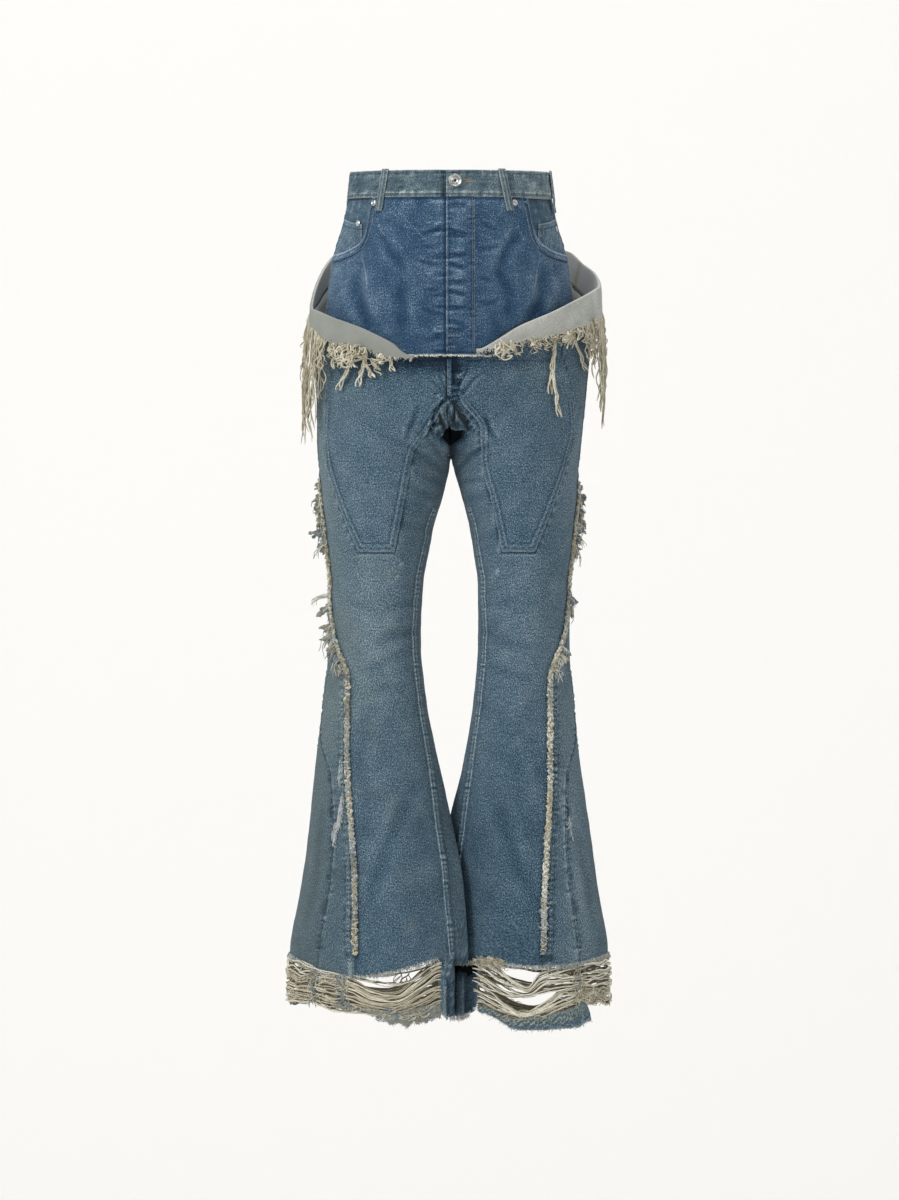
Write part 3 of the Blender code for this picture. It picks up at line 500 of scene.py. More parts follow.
def spread(tree, value, amount):
    """(value - 0.5) times amount."""
    return combine(tree, "MULTIPLY", combine(tree, "SUBTRACT", value, 0.5), amount)


def add_up(tree, parts, wash):
    """Half plus each (socket, amount) spread about zero, plus half the wear and painted shade, clamped."""
    total = 0.5
    for value, amount in parts:
        total = combine(tree, "ADD", spread(tree, value, amount), total)
    return combine(tree, "ADD", total, combine(tree, "MULTIPLY", wash, 0.5), clamp=True)


def add_relief(tree, shader, height, strength, depth):
    relief = node(tree, "ShaderNodeBump")
    set_inputs(relief, Strength=strength, Distance=depth)
    tree.links.new(height, relief.inputs["Height"])
    tree.links.new(relief.outputs[0], shader.inputs["Normal"])


def ramp(tree, factor, stops):
    made = node(tree, "ShaderNodeValToRGB")
    ends = made.color_ramp.elements
    for element, (place, colour) in zip((ends[0], ends[1]), (stops[0], stops[-1])):
        element.position = place
        element.color = (*colour, 1.0)
    for place, colour in stops[1:-1]:
        ends.new(place).color = (*colour, 1.0)
    tree.links.new(factor, made.inputs[0])
    return made.outputs[0]


def denim(name, stops, speckle=0.55, slub=0.30, mottle=0.30, warm=(0.16, 0.19, 0.15), gloss=1.0):
    """Twill with uneven yarns, wear and painted shade from the cloth's own attributes and a fine weave."""
    made, tree, shader = new_material(name, Roughness=0.86, Specular_IOR_Level=0.22 * gloss,
                                      Sheen_Weight=0.06 * gloss, Sheen_Roughness=0.5)
    uv = node(tree, "ShaderNodeUVMap", uv_map="cloth").outputs[0]
    grain = cloth_noise(tree, uv, 1.25, 2.1, 3.0, 0.72)
    yarns = cloth_noise(tree, uv, 1.7, 19.0, 3.0, 0.6)
    weft = cloth_noise(tree, uv, 30.0, 1.6, 2.0, 0.6)
    cloud = cloth_noise(tree, uv, 26.0, 38.0, 4.0, 0.6)
    parts = ((grain, speckle * 2.6), (yarns, slub), (weft, slub * 0.6), (cloud, mottle))
    mix = node(tree, "ShaderNodeMix", data_type="RGBA")
    tree.links.new(attribute(tree, "tint"), mix.inputs["Factor"])
    tree.links.new(ramp(tree, add_up(tree, parts, attribute(tree, "wash")), stops), mix.inputs[6])
    mix.inputs[7].default_value = (*warm, 1.0)
    tree.links.new(mix.outputs[2], shader.inputs["Base Color"])
    twill = node(tree, "ShaderNodeTexWave", wave_type="BANDS", bands_direction="X")
    set_inputs(twill, Scale=0.38, Distortion=1.2, Detail=1.0)
    tree.links.new(scaled(tree, uv, (1000.0, 1000.0, 1.0), math.radians(32)), twill.inputs["Vector"])
    height = combine(tree, "MULTIPLY", twill.outputs["Fac"], 0.25)
    for value, amount in ((grain, 0.9), (yarns, 0.5)):
        height = combine(tree, "ADD", height, combine(tree, "MULTIPLY", value, amount))
    add_relief(tree, shader, height, 0.5, 0.0007)
    return made


def yarn_material(name, stops):
    """Spun yarn: colour varies from strand to strand and along each."""
    made, tree, shader = new_material(name, Roughness=0.9, Sheen_Weight=0.2, Sheen_Roughness=0.6)
    place = node(tree, "ShaderNodeTexCoord").outputs["Object"]
    fine = noise_at(tree, place, 500.0, 3.0)
    factor = add_up(tree, ((fine, 0.9), (noise_at(tree, place, 60.0), 0.5)), attribute(tree, "wash"))
    tree.links.new(ramp(tree, factor, stops), shader.inputs["Base Color"])
    add_relief(tree, shader, fine, 0.6, 0.0005)
    return made


def metal_material(name, stops, rough):
    made, tree, shader = new_material(name, Metallic=1.0)
    noise = noise_at(tree, node(tree, "ShaderNodeTexCoord").outputs["Object"], 420.0, 5.0)
    tree.links.new(ramp(tree, noise, stops), shader.inputs["Base Color"])
    scratch = combine(tree, "ADD", combine(tree, "MULTIPLY", noise, 0.25), rough - 0.1)
    tree.links.new(scratch, shader.inputs["Roughness"])
    add_relief(tree, shader, noise, 0.25, 0.0002)
    return made


MATERIALS = {
    "upper": denim("denim_upper", (
        (0.0, (0.004, 0.015, 0.042)), (0.28, (0.012, 0.040, 0.092)), (0.5, (0.027, 0.073, 0.145)),
        (0.72, (0.069, 0.142, 0.230)), (1.0, (0.34, 0.43, 0.51))),
        speckle=0.72, slub=0.34, mottle=0.30, warm=(0.10, 0.15, 0.16)),
    "band": denim("denim_band", (
        (0.0, (0.012, 0.028, 0.046)), (0.28, (0.044, 0.082, 0.112)), (0.5, (0.092, 0.146, 0.182)),
        (0.75, (0.205, 0.272, 0.298)), (1.0, (0.50, 0.56, 0.56))),
        speckle=0.62, slub=0.3, mottle=0.34),
    "leg": denim("denim_leg", (
        (0.0, (0.003, 0.012, 0.026)), (0.25, (0.024, 0.063, 0.108)), (0.5, (0.064, 0.129, 0.190)),
        (0.75, (0.146, 0.222, 0.278)), (1.0, (0.42, 0.49, 0.52))),
        speckle=1.0, slub=0.34, mottle=0.18),
    # Near-black cloth for painted shade in deep hollows.
    "deep": denim("denim_painted_shade", (
        (0.0, (0.002, 0.004, 0.006)), (1.0, (0.010, 0.018, 0.024))), speckle=0.3, gloss=0.2),
    "wrong": denim("denim_wrong_side", (
        (0.0, (0.15, 0.165, 0.16)), (0.4, (0.265, 0.285, 0.27)),
        (0.7, (0.34, 0.36, 0.34)), (1.0, (0.66, 0.67, 0.64))),
        speckle=0.25, slub=0.18, mottle=0.15, warm=(0.42, 0.36, 0.18)),
    "yarn": yarn_material("cotton_yarn", (
        (0.0, (0.11, 0.094, 0.058)), (0.4, (0.41, 0.37, 0.255)),
        (0.7, (0.62, 0.58, 0.44)), (1.0, (0.90, 0.88, 0.79)))),
    "blue_yarn": yarn_material("indigo_yarn", (
        (0.0, (0.07, 0.09, 0.11)), (0.5, (0.24, 0.29, 0.31)), (1.0, (0.62, 0.66, 0.66)))),
    "thread": yarn_material("sewing_thread", (
        (0.0, (0.07, 0.11, 0.13)), (0.5, (0.19, 0.25, 0.27)), (1.0, (0.50, 0.54, 0.52)))),
    "dark_thread": yarn_material("sewing_thread_upper", (
        (0.0, (0.06, 0.09, 0.13)), (0.5, (0.19, 0.25, 0.30)), (1.0, (0.48, 0.52, 0.53)))),
    "brown_thread": yarn_material("buttonhole_thread", (
        (0.0, (0.10, 0.07, 0.05)), (0.5, (0.25, 0.19, 0.13)), (1.0, (0.42, 0.36, 0.27)))),
    "steel": metal_material("worn_steel", (
        (0.25, (0.30, 0.31, 0.31)), (0.55, (0.62, 0.63, 0.62)), (0.8, (0.82, 0.82, 0.80))), 0.3),
    "dark_metal": metal_material("oxidised_metal", (
        (0.3, (0.03, 0.032, 0.035)), (0.7, (0.10, 0.10, 0.10))), 0.5),
}


# ------------------------------------------------------------------ meshes

def make_piece(name, verts, faces, mats, uv=None, wash=None, tint=None, face_mats=None, replaces=()):
    """Mesh object in metres from millimetre points; faces is a list of index arrays."""
    mesh = bpy.data.meshes.new(name)
    verts = np.asarray(verts, float) * MM
    mesh.vertices.add(len(verts))
    mesh.vertices.foreach_set("co", verts.ravel())
    loops = np.concatenate([np.asarray(f).ravel() for f in faces])
    totals = np.concatenate([np.full(len(f), np.asarray(f).shape[1]) for f in faces])
    mesh.loops.add(len(loops))
    mesh.loops.foreach_set("vertex_index", loops.astype(np.int32))
    mesh.polygons.add(len(totals))
    starts = np.concatenate([[0], np.cumsum(totals)[:-1]])
    mesh.polygons.foreach_set("loop_start", starts.astype(np.int32))
    mesh.polygons.foreach_set("loop_total", totals.astype(np.int32))
    if face_mats is not None:
        mesh.polygons.foreach_set("material_index", np.asarray(face_mats, np.int32))
    mesh.update(calc_edges=True)
    mesh.validate()
    if uv is not None:
        layer = mesh.uv_layers.new(name="cloth")
        layer.data.foreach_set("uv", (np.asarray(uv, float) * MM)[loops].ravel())
    # The first attribute holds wear and painted shade, -1 dark to 1 light; the second holds the tint.
    for label, values in (("wash", wash), ("tint", tint)):
        attribute_layer = mesh.attributes.new(label, "FLOAT", "POINT")
        if values is not None:
            attribute_layer.data.foreach_set("value", np.asarray(values, np.float32).ravel())
    mesh.shade_smooth()
    for key in mats:
        mesh.materials.append(MATERIALS[key])
    made = bpy.data.objects.new(name, mesh)
    bpy.context.scene.collection.objects.link(made)
    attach(made, "root")
    if replaces:
        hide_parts(*replaces)
    return made


def stays_behind(outer, inner):
    """True where a flat block between its corners keeps clear of the outer side."""
    v = np.linspace(0, 1, outer.shape[0])[:, None, None]
    u = np.linspace(0, 1, outer.shape[1])[None, :, None]
    flat = lerp(lerp(inner[0, 0], inner[0, -1], u), lerp(inner[-1, 0], inner[-1, -1], u), v)
    through = outer - inner
    thick = np.linalg.norm(through, axis=-1)
    gap = np.sum((outer - flat) * through, axis=-1)
    return bool(np.all(gap > 0.45 * thick ** 2))


def thin_faces(index, cells, outer, inner, step=3):
    """Faces of a grid in blocks of cells; a block keeps every vertex along its free sides."""
    rows, cols = cells.shape
    high, wide = -(-rows // step), -(-cols // step)
    full = np.zeros((high + 2, wide + 2), bool)
    for i, j in np.ndindex(high, wide):
        block = cells[i * step:(i + 1) * step, j * step:(j + 1) * step]
        corner = (slice(i * step, i * step + block.shape[0] + 1),
                  slice(j * step, j * step + block.shape[1] + 1))
        full[i + 1, j + 1] = block.all() and stays_behind(outer[corner], inner[corner])
    groups = {}
    for i, j in np.ndindex(high, wide):
        top, low = i * step, min((i + 1) * step, rows)
        left, right = j * step, min((j + 1) * step, cols)
        if full[i + 1, j + 1]:
            sides = ((full[i, j + 1], [index[top, c] for c in range(left, right)]),
                     (full[i + 1, j + 2], [index[r, right] for r in range(top, low)]),
                     (full[i + 2, j + 1], [index[low, c] for c in range(right, left, -1)]),
                     (full[i + 1, j], [index[r, left] for r in range(low, top, -1)]))
            ring = []
            for joined, line in sides:
                ring += line[:1] if joined else line
            groups.setdefault(len(ring), []).append(ring)
        else:
            for r, c in zip(*np.nonzero(cells[top:low, left:right])):
                r, c = r + top, c + left
                quad = [index[r, c], index[r, c + 1], index[r + 1, c + 1], index[r + 1, c]]
                groups.setdefault(4, []).append(quad)
    return [np.array(group) for _, group in sorted(groups.items())]


def declare_sheet(outer, width, length):
    """Works out the flat size and area of a cloth from its outer points in millimetres, and keeps neither."""
    halves = 0.0
    for corner, beside, below in (((0, 0), (0, 1), (1, 0)), ((1, 1), (0, 1), (1, 0))):
        rows, cols = outer.shape[0] - 1, outer.shape[1] - 1
        at, p, q = (outer[i:i + rows, j:j + cols] for i, j in (corner, beside, below))
        halves = halves + 0.5 * np.linalg.norm(np.cross(p - at, q - at), axis=-1)
    width, length = (max(value * MM, LEAST_FLAT) for value in (width, length))


def grid_shell(name, outer, inner, mats, wash=0.0, tint=0.0, kept=None, origin=(0.0, 0.0), replaces=(),
               inner_wash=0.0, held="hung", sheet=True, rim=(0, 0, 0, 0), thin=True):
    """Closed thin shell between two point grids.

    rim names the material, by its place in mats, of the edge at the top, right, foot and left.
    """
    rows, cols = outer.shape[:2]
    count = rows * cols
    index = np.arange(count).reshape(rows, cols)
    quads = np.stack([index[:-1, :-1], index[:-1, 1:], index[1:, 1:], index[1:, :-1]], axis=-1)
    cells = np.ones((rows - 1, cols - 1), bool) if kept is None else kept
    across = outer[:-1, 1:] - outer[:-1, :-1]
    down = outer[1:, :-1] - outer[:-1, :-1]
    way = -1 if np.sum(np.cross(across, down) * (outer - inner)[:-1, :-1]) < 0 else 1
    front = quads[cells][:, ::way]
    if thin:
        back = [block[:, ::-way] + count for block in thin_faces(index, cells, outer, inner)]
    else:
        back = [front[:, ::-1] + count]
    border, border_mats = [], []
    padded = np.zeros((rows + 1, cols + 1), bool)
    padded[1:-1, 1:-1] = cells
    for (dr, dc, i, j), rim_mat in zip(((-1, 0, 0, 1), (0, 1, 1, 2), (1, 0, 2, 3), (0, -1, 3, 0)), rim):
        edge = quads[cells & ~padded[1 + dr:rows + dr, 1 + dc:cols + dc]]
        wall = np.stack([edge[:, j], edge[:, i], edge[:, i] + count, edge[:, j] + count], axis=-1)
        border.append(wall[:, ::way])
        border_mats.append(np.full(len(wall), rim_mat))
    border = np.concatenate(border)
    step_u = np.linalg.norm(np.diff(outer, axis=1), axis=-1)
    step_v = np.linalg.norm(np.diff(outer, axis=0), axis=-1)
    u = np.concatenate([np.zeros((rows, 1)), np.cumsum(step_u, axis=1)], axis=1)
    u = u - u[:, cols // 2:cols // 2 + 1]
    v = np.concatenate([np.zeros((1, cols)), np.cumsum(step_v, axis=0)], axis=0)
    uv = np.tile(np.stack([u + origin[0], v + origin[1]], axis=-1).reshape(-1, 2), (2, 1))
    verts = np.concatenate([outer.reshape(-1, 3), inner.reshape(-1, 3)])
    wash = np.concatenate([np.broadcast_to(wash, (rows, cols)).ravel(), np.full(count, inner_wash)])
    tint = np.concatenate([np.broadcast_to(tint, (rows, cols)).ravel(), np.zeros(count)])
    used = np.unique(np.concatenate([front.ravel()] + [block.ravel() for block in back]))
    lookup = np.full(count * 2, -1)
    lookup[used] = np.arange(len(used))
    behind = sum(len(block) for block in back)
    face_mats = np.concatenate([np.zeros(len(front)), np.full(behind, len(mats) - 1), *border_mats])
    made = make_piece(name, verts[used], [lookup[block] for block in (front, *back, border)], mats,
                      uv[used], wash[used], tint[used], face_mats, replaces)
    if sheet:
        declare_sheet(outer, step_u.sum(axis=1).max(), step_v.sum(axis=0).max())
    return made


def dress(part, outer, inner, mats, wash=0.0, tint=0.0, **settings):
    """Cloth in the place of one solid."""
    return grid_shell(f"{part}_cloth", outer, inner, mats, wash, tint, replaces=[part], **settings)


def tubes(name, paths, radius, sides, mats, wash, replaces=(), tip=0.35, pick=None):
    """Many thin strands as one mesh; paths is an array (strand, step, 3), pick each one's material."""
    paths = np.asarray(paths, float)
    count, steps = paths.shape[:2]
    along = unit(np.gradient(paths, axis=1))
    side = unit(np.cross(along, np.array([0.31, -0.83, 0.46])))
    up = np.cross(along, side)
    taper = np.ones(steps)
    taper[-1] = tip
    taper[0] = min(1.0, tip + 0.4)
    size = np.broadcast_to(np.asarray(radius, float).reshape(-1, 1), (count, steps)) * taper
    angles = (np.arange(sides) * 2 * math.pi / sides)[None, None, :, None]
    ring = side[:, :, None, :] * np.cos(angles) + up[:, :, None, :] * np.sin(angles)
    verts = paths[:, :, None, :] + ring * size[:, :, None, None]
    index = np.arange(count * steps * sides).reshape(count, steps, sides)
    after = np.roll(index, -1, axis=2)
    walls = np.stack([index[:, :-1], after[:, :-1], after[:, 1:], index[:, 1:]], axis=-1)
    caps = np.concatenate([index[:, 0, ::-1], index[:, -1]])
    tone = np.repeat(np.asarray(wash, float), steps * sides)
    face_mats = None
    if pick is not None:
        face_mats = np.concatenate([np.repeat(pick, (steps - 1) * sides), pick, pick])
    return make_piece(name, verts.reshape(-1, 3), [walls.reshape(-1, 4), caps], mats, None, tone, None,
                      face_mats, replaces)


def draw_blue(rng, count, white_share):
    """1 for each strand drawn as blue yarn, 0 for white."""
    return (rng.uniform(0, 1, count) > white_share).astype(int)


def turned(name, profile, segments, centre, outward, mat, replaces=()):
    """Solid of revolution about outward; profile rows are (radius, height)."""
    axis = Vector(outward).normalized()
    side = axis.orthogonal().normalized()
    other = axis.cross(side)
    profile = np.array(profile, float)
    angles = np.arange(segments) * 2 * math.pi / segments
    ring = (np.outer(np.cos(angles), side) + np.outer(np.sin(angles), other))
    verts = (np.array(centre) + profile[:, 1][:, None, None] * np.array(axis)
             + profile[:, 0][:, None, None] * ring[None])
    index = np.arange(len(profile) * segments).reshape(len(profile), segments)
    after = np.roll(index, -1, axis=1)
    walls = np.stack([index[:-1], after[:-1], after[1:], index[1:]], axis=-1).reshape(-1, 4)
    caps = np.stack([index[0, ::-1], index[-1]])
    make_piece(name, verts.reshape(-1, 3), [walls, caps], [mat], replaces=replaces)


# Stitches are gathered from every seam and made as one piece for each thread.
STITCHES = {"thread": [], "dark_thread": [], "brown_thread": []}
STITCH = 3.0
STITCH_STEPS = 3


def sew(line, thread="thread", length=STITCH, cover=0.78, height=0.55, seed=1):
    """Stitches along a line: its dense points and the outward direction at each."""
    path, out = line
    step = np.linalg.norm(np.diff(path, axis=0), axis=-1)
    run = np.concatenate([[0], np.cumsum(step)])
    count = max(int(run[-1] / length), 1)
    rng = np.random.default_rng(seed)
    starts = np.arange(count) * (run[-1] / count)
    t = np.linspace(0, 1, STITCH_STEPS)
    at = starts[:, None] + t[None] * length * (cover + rng.uniform(-0.04, 0.04, (count, 1)))
    places, outs = (np.stack([np.interp(at, run, values[:, k]) for k in range(3)], axis=-1)
                    for values in (path, out))
    arch = (np.sin(math.pi * t) * height - 0.15)[None, :, None]
    STITCHES[thread].append(places + unit(outs) * arch)


def on_upper(turn, z, lift):
    """Line and outward directions on the upper shell."""
    here = upper_point(turn, z, lift)
    return here, upper_point(turn, z, np.asarray(lift) + 5.0) - here


def on_leg(side, angle, z, lift):
    here = leg_surface(side, angle, z, lift)
    return here, leg_point(side, angle, z, np.asarray(lift) + 5.0) - leg_point(side, angle, z, lift)


# ------------------------------------------------------------------ relief, wear and painted shade of the legs

CROTCH_CREASES = (
    # x from, z from, x to, z to, half width, depth: folds that gather at the crossing of the seams
    (-4, -290, -24, -309, 2.4, 2.4), (-20, -306, -29, -346, 2.8, 2.6), (-30, -330, -10, -318, 2.6, 1.8),
    (-6, -289, -40, -340, 2.6, 1.3), (-2, -288, 20, -309, 2.2, 2.2), (2, -292, 27, -328, 2.6, 2.6),
    (8, -292, 38, -330, 2.8, 1.8), (12, -310, 34, -338, 3.0, 2.4), (-16, -306, -9, -330, 2.6, 2.0),
    (-3, -300, -4, -324, 1.8, 1.6), (5, -300, 8, -322, 1.9, 1.6), (-27, -262, -4, -290, 2.2, 1.2),
    (-17, -250, -4, -288, 2.0, 1.1), (26, -246, 6, -284, 2.4, 1.3), (40, -256, 10, -290, 2.6, 1.3),
    (-44, -300, -60, -352, 4.0, 1.2), (46, -310, 60, -350, 4.0, 1.2),
)
CROTCH_LEDGES = (-247.0, -254.0, -266.0, -271.0, -279.0)
CROTCH_LINES = (
    # start and end of thin worn lines round the crossing of the seams, x and z; the first eight also get a
    # painted shade line just below
    ((-19, -252), (-2, -266)), ((27, -250), (1, -266)), ((-12, -240), (-3, -262)), ((-6, -286), (-36, -330)),
    ((-10, -288), (-44, -352)), ((3, -288), (30, -320)), ((8, -290), (42, -332)), ((-28, -283), (-5, -290)),
)
PATCH_LINES = (((-60, -500), (-77, -542)), ((59, -503), (70, -545)))

LEG_CREASES = {
    # arc from, z from, arc to, z to, half width, depth
    "left": (
        (250, -392, 150, -340, 5.0, 1.6), (246, -380, 176, -312, 4.0, 1.3),
        (238, -402, 170, -388, 4.5, 1.2), (232, -425, 140, -404, 6.0, 1.3),
        (210, -470, 120, -452, 6.0, 0.9), (176, -560, 110, -575, 7.0, 1.0),
        (170, -600, 96, -622, 8.0, 1.3), (166, -628, 70, -660, 8.0, 1.1),
        (158, -676, 90, -690, 8.0, 0.9), (60, -556, 110, -590, 7.0, 0.9),
        (40, -300, 70, -420, 9.0, 1.3), (96, -720, 130, -860, 10.0, 1.2),
        (190, -800, 150, -1000, 11.0, 1.6), (60, -840, 66, -1010, 10.0, 1.5),
        (-240, -400, -110, -352, 8.0, 2.0), (-236, -430, -130, -412, 8.0, 1.6),
        (-170, -590, -50, -612, 9.0, 2.0), (-168, -640, -60, -630, 9.0, 1.8),
        (-120, -700, -90, -880, 11.0, 1.6),
    ),
    "right": (
        (250, -390, 160, -344, 5.0, 1.6), (246, -384, 190, -306, 4.0, 1.2),
        (236, -404, 168, -396, 4.5, 1.3), (230, -430, 150, -414, 6.0, 1.2),
        (206, -480, 130, -468, 6.0, 0.9), (174, -572, 104, -560, 7.0, 1.0),
        (168, -606, 84, -630, 8.0, 1.2), (160, -650, 90, -668, 8.0, 1.0),
        (44, -290, 66, -400, 9.0, 1.2), (110, -740, 90, -880, 10.0, 1.1),
        (180, -820, 150, -990, 11.0, 1.5), (64, -860, 60, -1010, 10.0, 1.5),
        (-240, -398, -120, -350, 8.0, 2.0), (-232, -436, -126, -420, 8.0, 1.6),
        (-170, -600, -52, -580, 9.0, 2.0), (-166, -652, -60, -668, 9.0, 1.8),
        (-110, -720, -100, -900, 11.0, 1.6),
    ),
}
INSEAM = {"z": (-440, -515, -590, -745, -872, -960, -1041),
          "angle": (158, 153, 151, 151, 142, 140, 143)}
FAR = 99.0                # distance given where a seam does not run


def seam_distances(side, angle, z):
    """Distance in millimetres along the cloth to each sewn line of a leg."""
    reach = reach_of(side, z)
    fray, inseam, godet, back = (
        np.where(z < top, (angle - track(table, "angle", z)) * reach, FAR)
        for table, top in ((FRAYED, np.inf), (INSEAM, -430), (GODET, GODET_TOP), (BACK_SEAM, SIDE_PANEL_TOP)))
    return fray, inseam, godet, back, np.where(z > -372, (fork_angle(z) - np.abs(angle)) * reach, FAR)


def leg_relief(side, angle, z):
    """Relief of the leg cloth in millimetres, and the parts of it from seams and crotch folds."""
    front = angle > 0
    arc = angle * reach_of(side, z)
    x = leg_x(side, angle, z)
    fray, inseam, godet, back, centre = seam_distances(side, angle, z)
    hills = 0.55 * waves(arc, z, 5 if side == "left" else 9, 95.0) + 0.22 * waves(arc, z, 15, 31.0)
    low = bump(z, -352, 34) * bump(np.abs(angle), 150, 42)
    crumple = low * (1.3 * waves(arc, z, 33, 24.0) + 0.6 * waves(arc, z, 35, 11.0))
    press = 2.4 * bump(z, -357, 19) * blend(np.abs(angle), 128, 165)
    seams = pucker(z, fray + 9, 7.0, 8.5, 0.85, 1.0) * (1 + 0.6 * (z < FLARE_TOP))
    for away, width, period, size, seed in ((inseam, 6.5, 10.0, 0.6, 2.0), (godet - 2, 6.0, 9.5, 1.15, 3.0),
                                            (back, 8.0, 11.0, 0.9, 4.0), (centre - 4, 6.0, 8.5, 0.5, 5.0)):
        seams = seams + pucker(z, away, width, period, size, seed)
    ridge = marks(godet, (0.8, 3.0, 2.2)) + marks(inseam, (1.1, 0.0, 4.4)) + marks(centre, (0.8, 3.0, 3.4))
    folds = np.where(front & (z > -380), creases(x, z, CROTCH_CREASES), 0.0)
    ledges = sum(bump(z, level, 1.9) for level in CROTCH_LEDGES)
    folds = folds - front * (1.6 * ledges * bump(x, 8, 7) + spots(z, x, (4.0, -336, 11, 3, 12)))
    relief = hills + creases(arc, z, LEG_CREASES[side]) + crumple + press
    return relief + seams + ridge + folds, seams, folds


def leg_surface(side, angle, z, lift=0.0):
    """Fine leg surface: the solid's form with creases and puckers."""
    angle, z, lift = together(angle, z, lift)
    return leg_point(side, angle, z, lift + leg_relief(side, angle, z)[0])


def fray_wear_and_shade(side, z, angle, fray):
    """Dark line of the frayed seam, and below the knee its worn and shaded bands."""
    worn = 0.55 + 0.6 * waves(z, angle, 43, 21.0, 4)
    band = (0.55 if side == "left" else 0.25) * worn * bump(fray, -9.0, 2.8) - 0.4 * bump(fray, -13.0, 1.6)
    return -0.40 * bump(fray, 1.0, 5.0) + (z < FLARE_TOP) * band


def crotch_wear_and_shade(angle, x, z):
    """Worn lines where the seams of the front cross, with painted shade: a dark line just below most of them,
    dark ledges, a shadow under the flap's raw edge and the near-black hollow.
    """
    lines = wear_and_shade_lines(x, z, CROTCH_LINES + PATCH_LINES)
    ledges = sum(bump(z, level, 1.5) for level in CROTCH_LEDGES)
    # Painted shade: a dark line 1.6 mm below each of the first eight worn lines, and dark slits at the
    # ledges.
    wash = 0.8 * lines - 0.6 * wear_and_shade_lines(x, z - 1.6, CROTCH_LINES, 1.4) - 1.2 * ledges * bump(x, 9, 6)
    # Darker round the crossing, and a painted shadow under the flap's raw edge.
    edge = blend(-z, 238, 262 + 6 * waves(x, 0 * x, 25, 40.0))
    wash = wash + spots(z, x, (-0.22, -310, 44, 2, 38)) - 0.8 * (1 - edge) * bump(x, -26, 44)
    # Painted shade of the crotch hollow, near black.
    hollow = np.exp(-((z + 334) / 14.0) ** 4 - ((x - 3.5) / 14.0) ** 4) + spots(z, x, (1, -358, 14, 3, 5))
    return (angle > 0) * wash - 2.2 * np.clip(hollow, 0, 1)


def leg_wear_and_shade(side, angle, z):
    """Wear of the leg cloth with painted shade under the flap's raw edge and in the crotch, -1 dark to 1
    light, and its greenish tint.
    """
    arc = angle * reach_of(side, z)
    x = leg_x(side, angle, z)
    relief, seams, folds = leg_relief(side, angle, z)
    fray, inseam, godet, back, centre = seam_distances(side, angle, z)
    # Lighter thigh, knee and outer side; the last spot is a painted shadow under the flap's raw edge.
    wash = spots(angle, z, (0.24, 92, 46, -600, 110), (0.06, 92, 46, -440, 90), (0.12, 18, 26, -400, 130),
                 (-0.42, 92, 50, -243, 16))
    wash = wash - (0.10 if side == "left" else 0.24) * blend(-z, 720, 900)
    wash = wash - 0.22 * blend(-z, 700, 860) * bump(angle, 22, 34)
    wash = wash + 0.08 * waves(arc, z, 77, 150.0) + 0.07 * waves(arc, z, 78, 60.0)
    wash = wash + np.clip(0.12 * (relief - seams - folds), -0.3, 0.22)
    wash = wash + np.clip(0.7 * seams, -0.6, 0.55) + np.clip(0.42 * folds, -0.95, 0.45)
    wash = wash + fray_wear_and_shade(side, z, angle, fray) + crotch_wear_and_shade(angle, x, z)
    wash = wash + marks(godet, (0.34, 2.0, 1.5), (-0.55, -1.2, 1.3)) + marks(back, (-0.30, 0.0, 1.3))
    wash = wash + marks(inseam, (-0.5, 7.6, 2.6), (-0.3, -7.4, 2.2))
    wash = wash - 1.7 * bump(godet, -3.8, 3.4) * np.clip(waves(z, 0 * z, 39, 23.0, 4) - 0.1, 0, 1)
    wash = wash - 0.6 * bump(centre, 4.6, 2.0) * (z > -290)
    tint = 0.24 * bump(angle, 20, 40) + 0.14 * blend(waves(arc, z, 91, 120.0), 0.1, 1.0)
    tint = tint + 0.12 * bump(np.abs(angle), 160, 30) + spots(z, angle, (0.16, -640, 90, 60, 40))
    if side == "right":
        wash = wash + 0.16 * bump(angle, 36, 30) * blend(-z, 680, 760)
        wash = wash + 0.48 * bump(angle, 42, 19) * blend(-z, 740, 860)
        wash = wash + spots(angle, z, (-0.19, 92, 46, -610, 190))
        tint = tint * 0.35
    return wash, np.clip(tint, 0, 0.5)


# ------------------------------------------------------------------ legs

FOOT_ANGLES = {
    # columns of a leg panel by their angles at the hem: fine beside the inseam and the tail
    "front": (169, 157, 147, 145, 132, 130, 119, 117, 108, 97, 86, 75),
    "back": (169, 157, 147, 145, 132, 130, 119, 117, 104, 91, 78, 65, 53, 41, 30),
}
PANEL_ROWS = {"front": (32, 236, 22), "back": (32, 150, 20)}    # above the fork, along the leg, at the hem
CENTRE_LAP = 3.0     # the right leg layer laps this far over the left at the centre seam
LAP_RISE = 1.7
TAIL_CUT = 147.0     # the left tail is torn away past this angle, where the right one shows
RAW_INNER = -1050.0
TAIL_SEAM = {"left": (142.0, 133.8), "right": (132.0, 132.0)}    # felled seam of the tail, top and foot


def refine(values, pieces):
    """Each interval of values cut into a number of equal steps."""
    out = [np.linspace(a, b, n, endpoint=False) for a, b, n in zip(values[:-1], values[1:], pieces)]
    return np.concatenate(out + [[values[-1]]])


def patch_shadow(side, angle, z):
    """Painted shadow on the leg just outside the thigh patch, and beyond it a light line painted as a raised
    rim catching light.
    """
    low, high = patch_angles(side, np.maximum(z, PATCH_FOOT))
    beside = np.minimum(np.abs(angle - low), np.abs(angle - high)) * reach_of(side, z)
    below = np.where((angle < low + 1) & (angle > high - 1), PATCH_FOOT - z, FAR)
    away = np.where(z > PATCH_FOOT, beside, np.where(below > 0, below, FAR))
    return marks(away, (-0.75, 1.2, 1.8), (0.45, 4.2, 1.3))


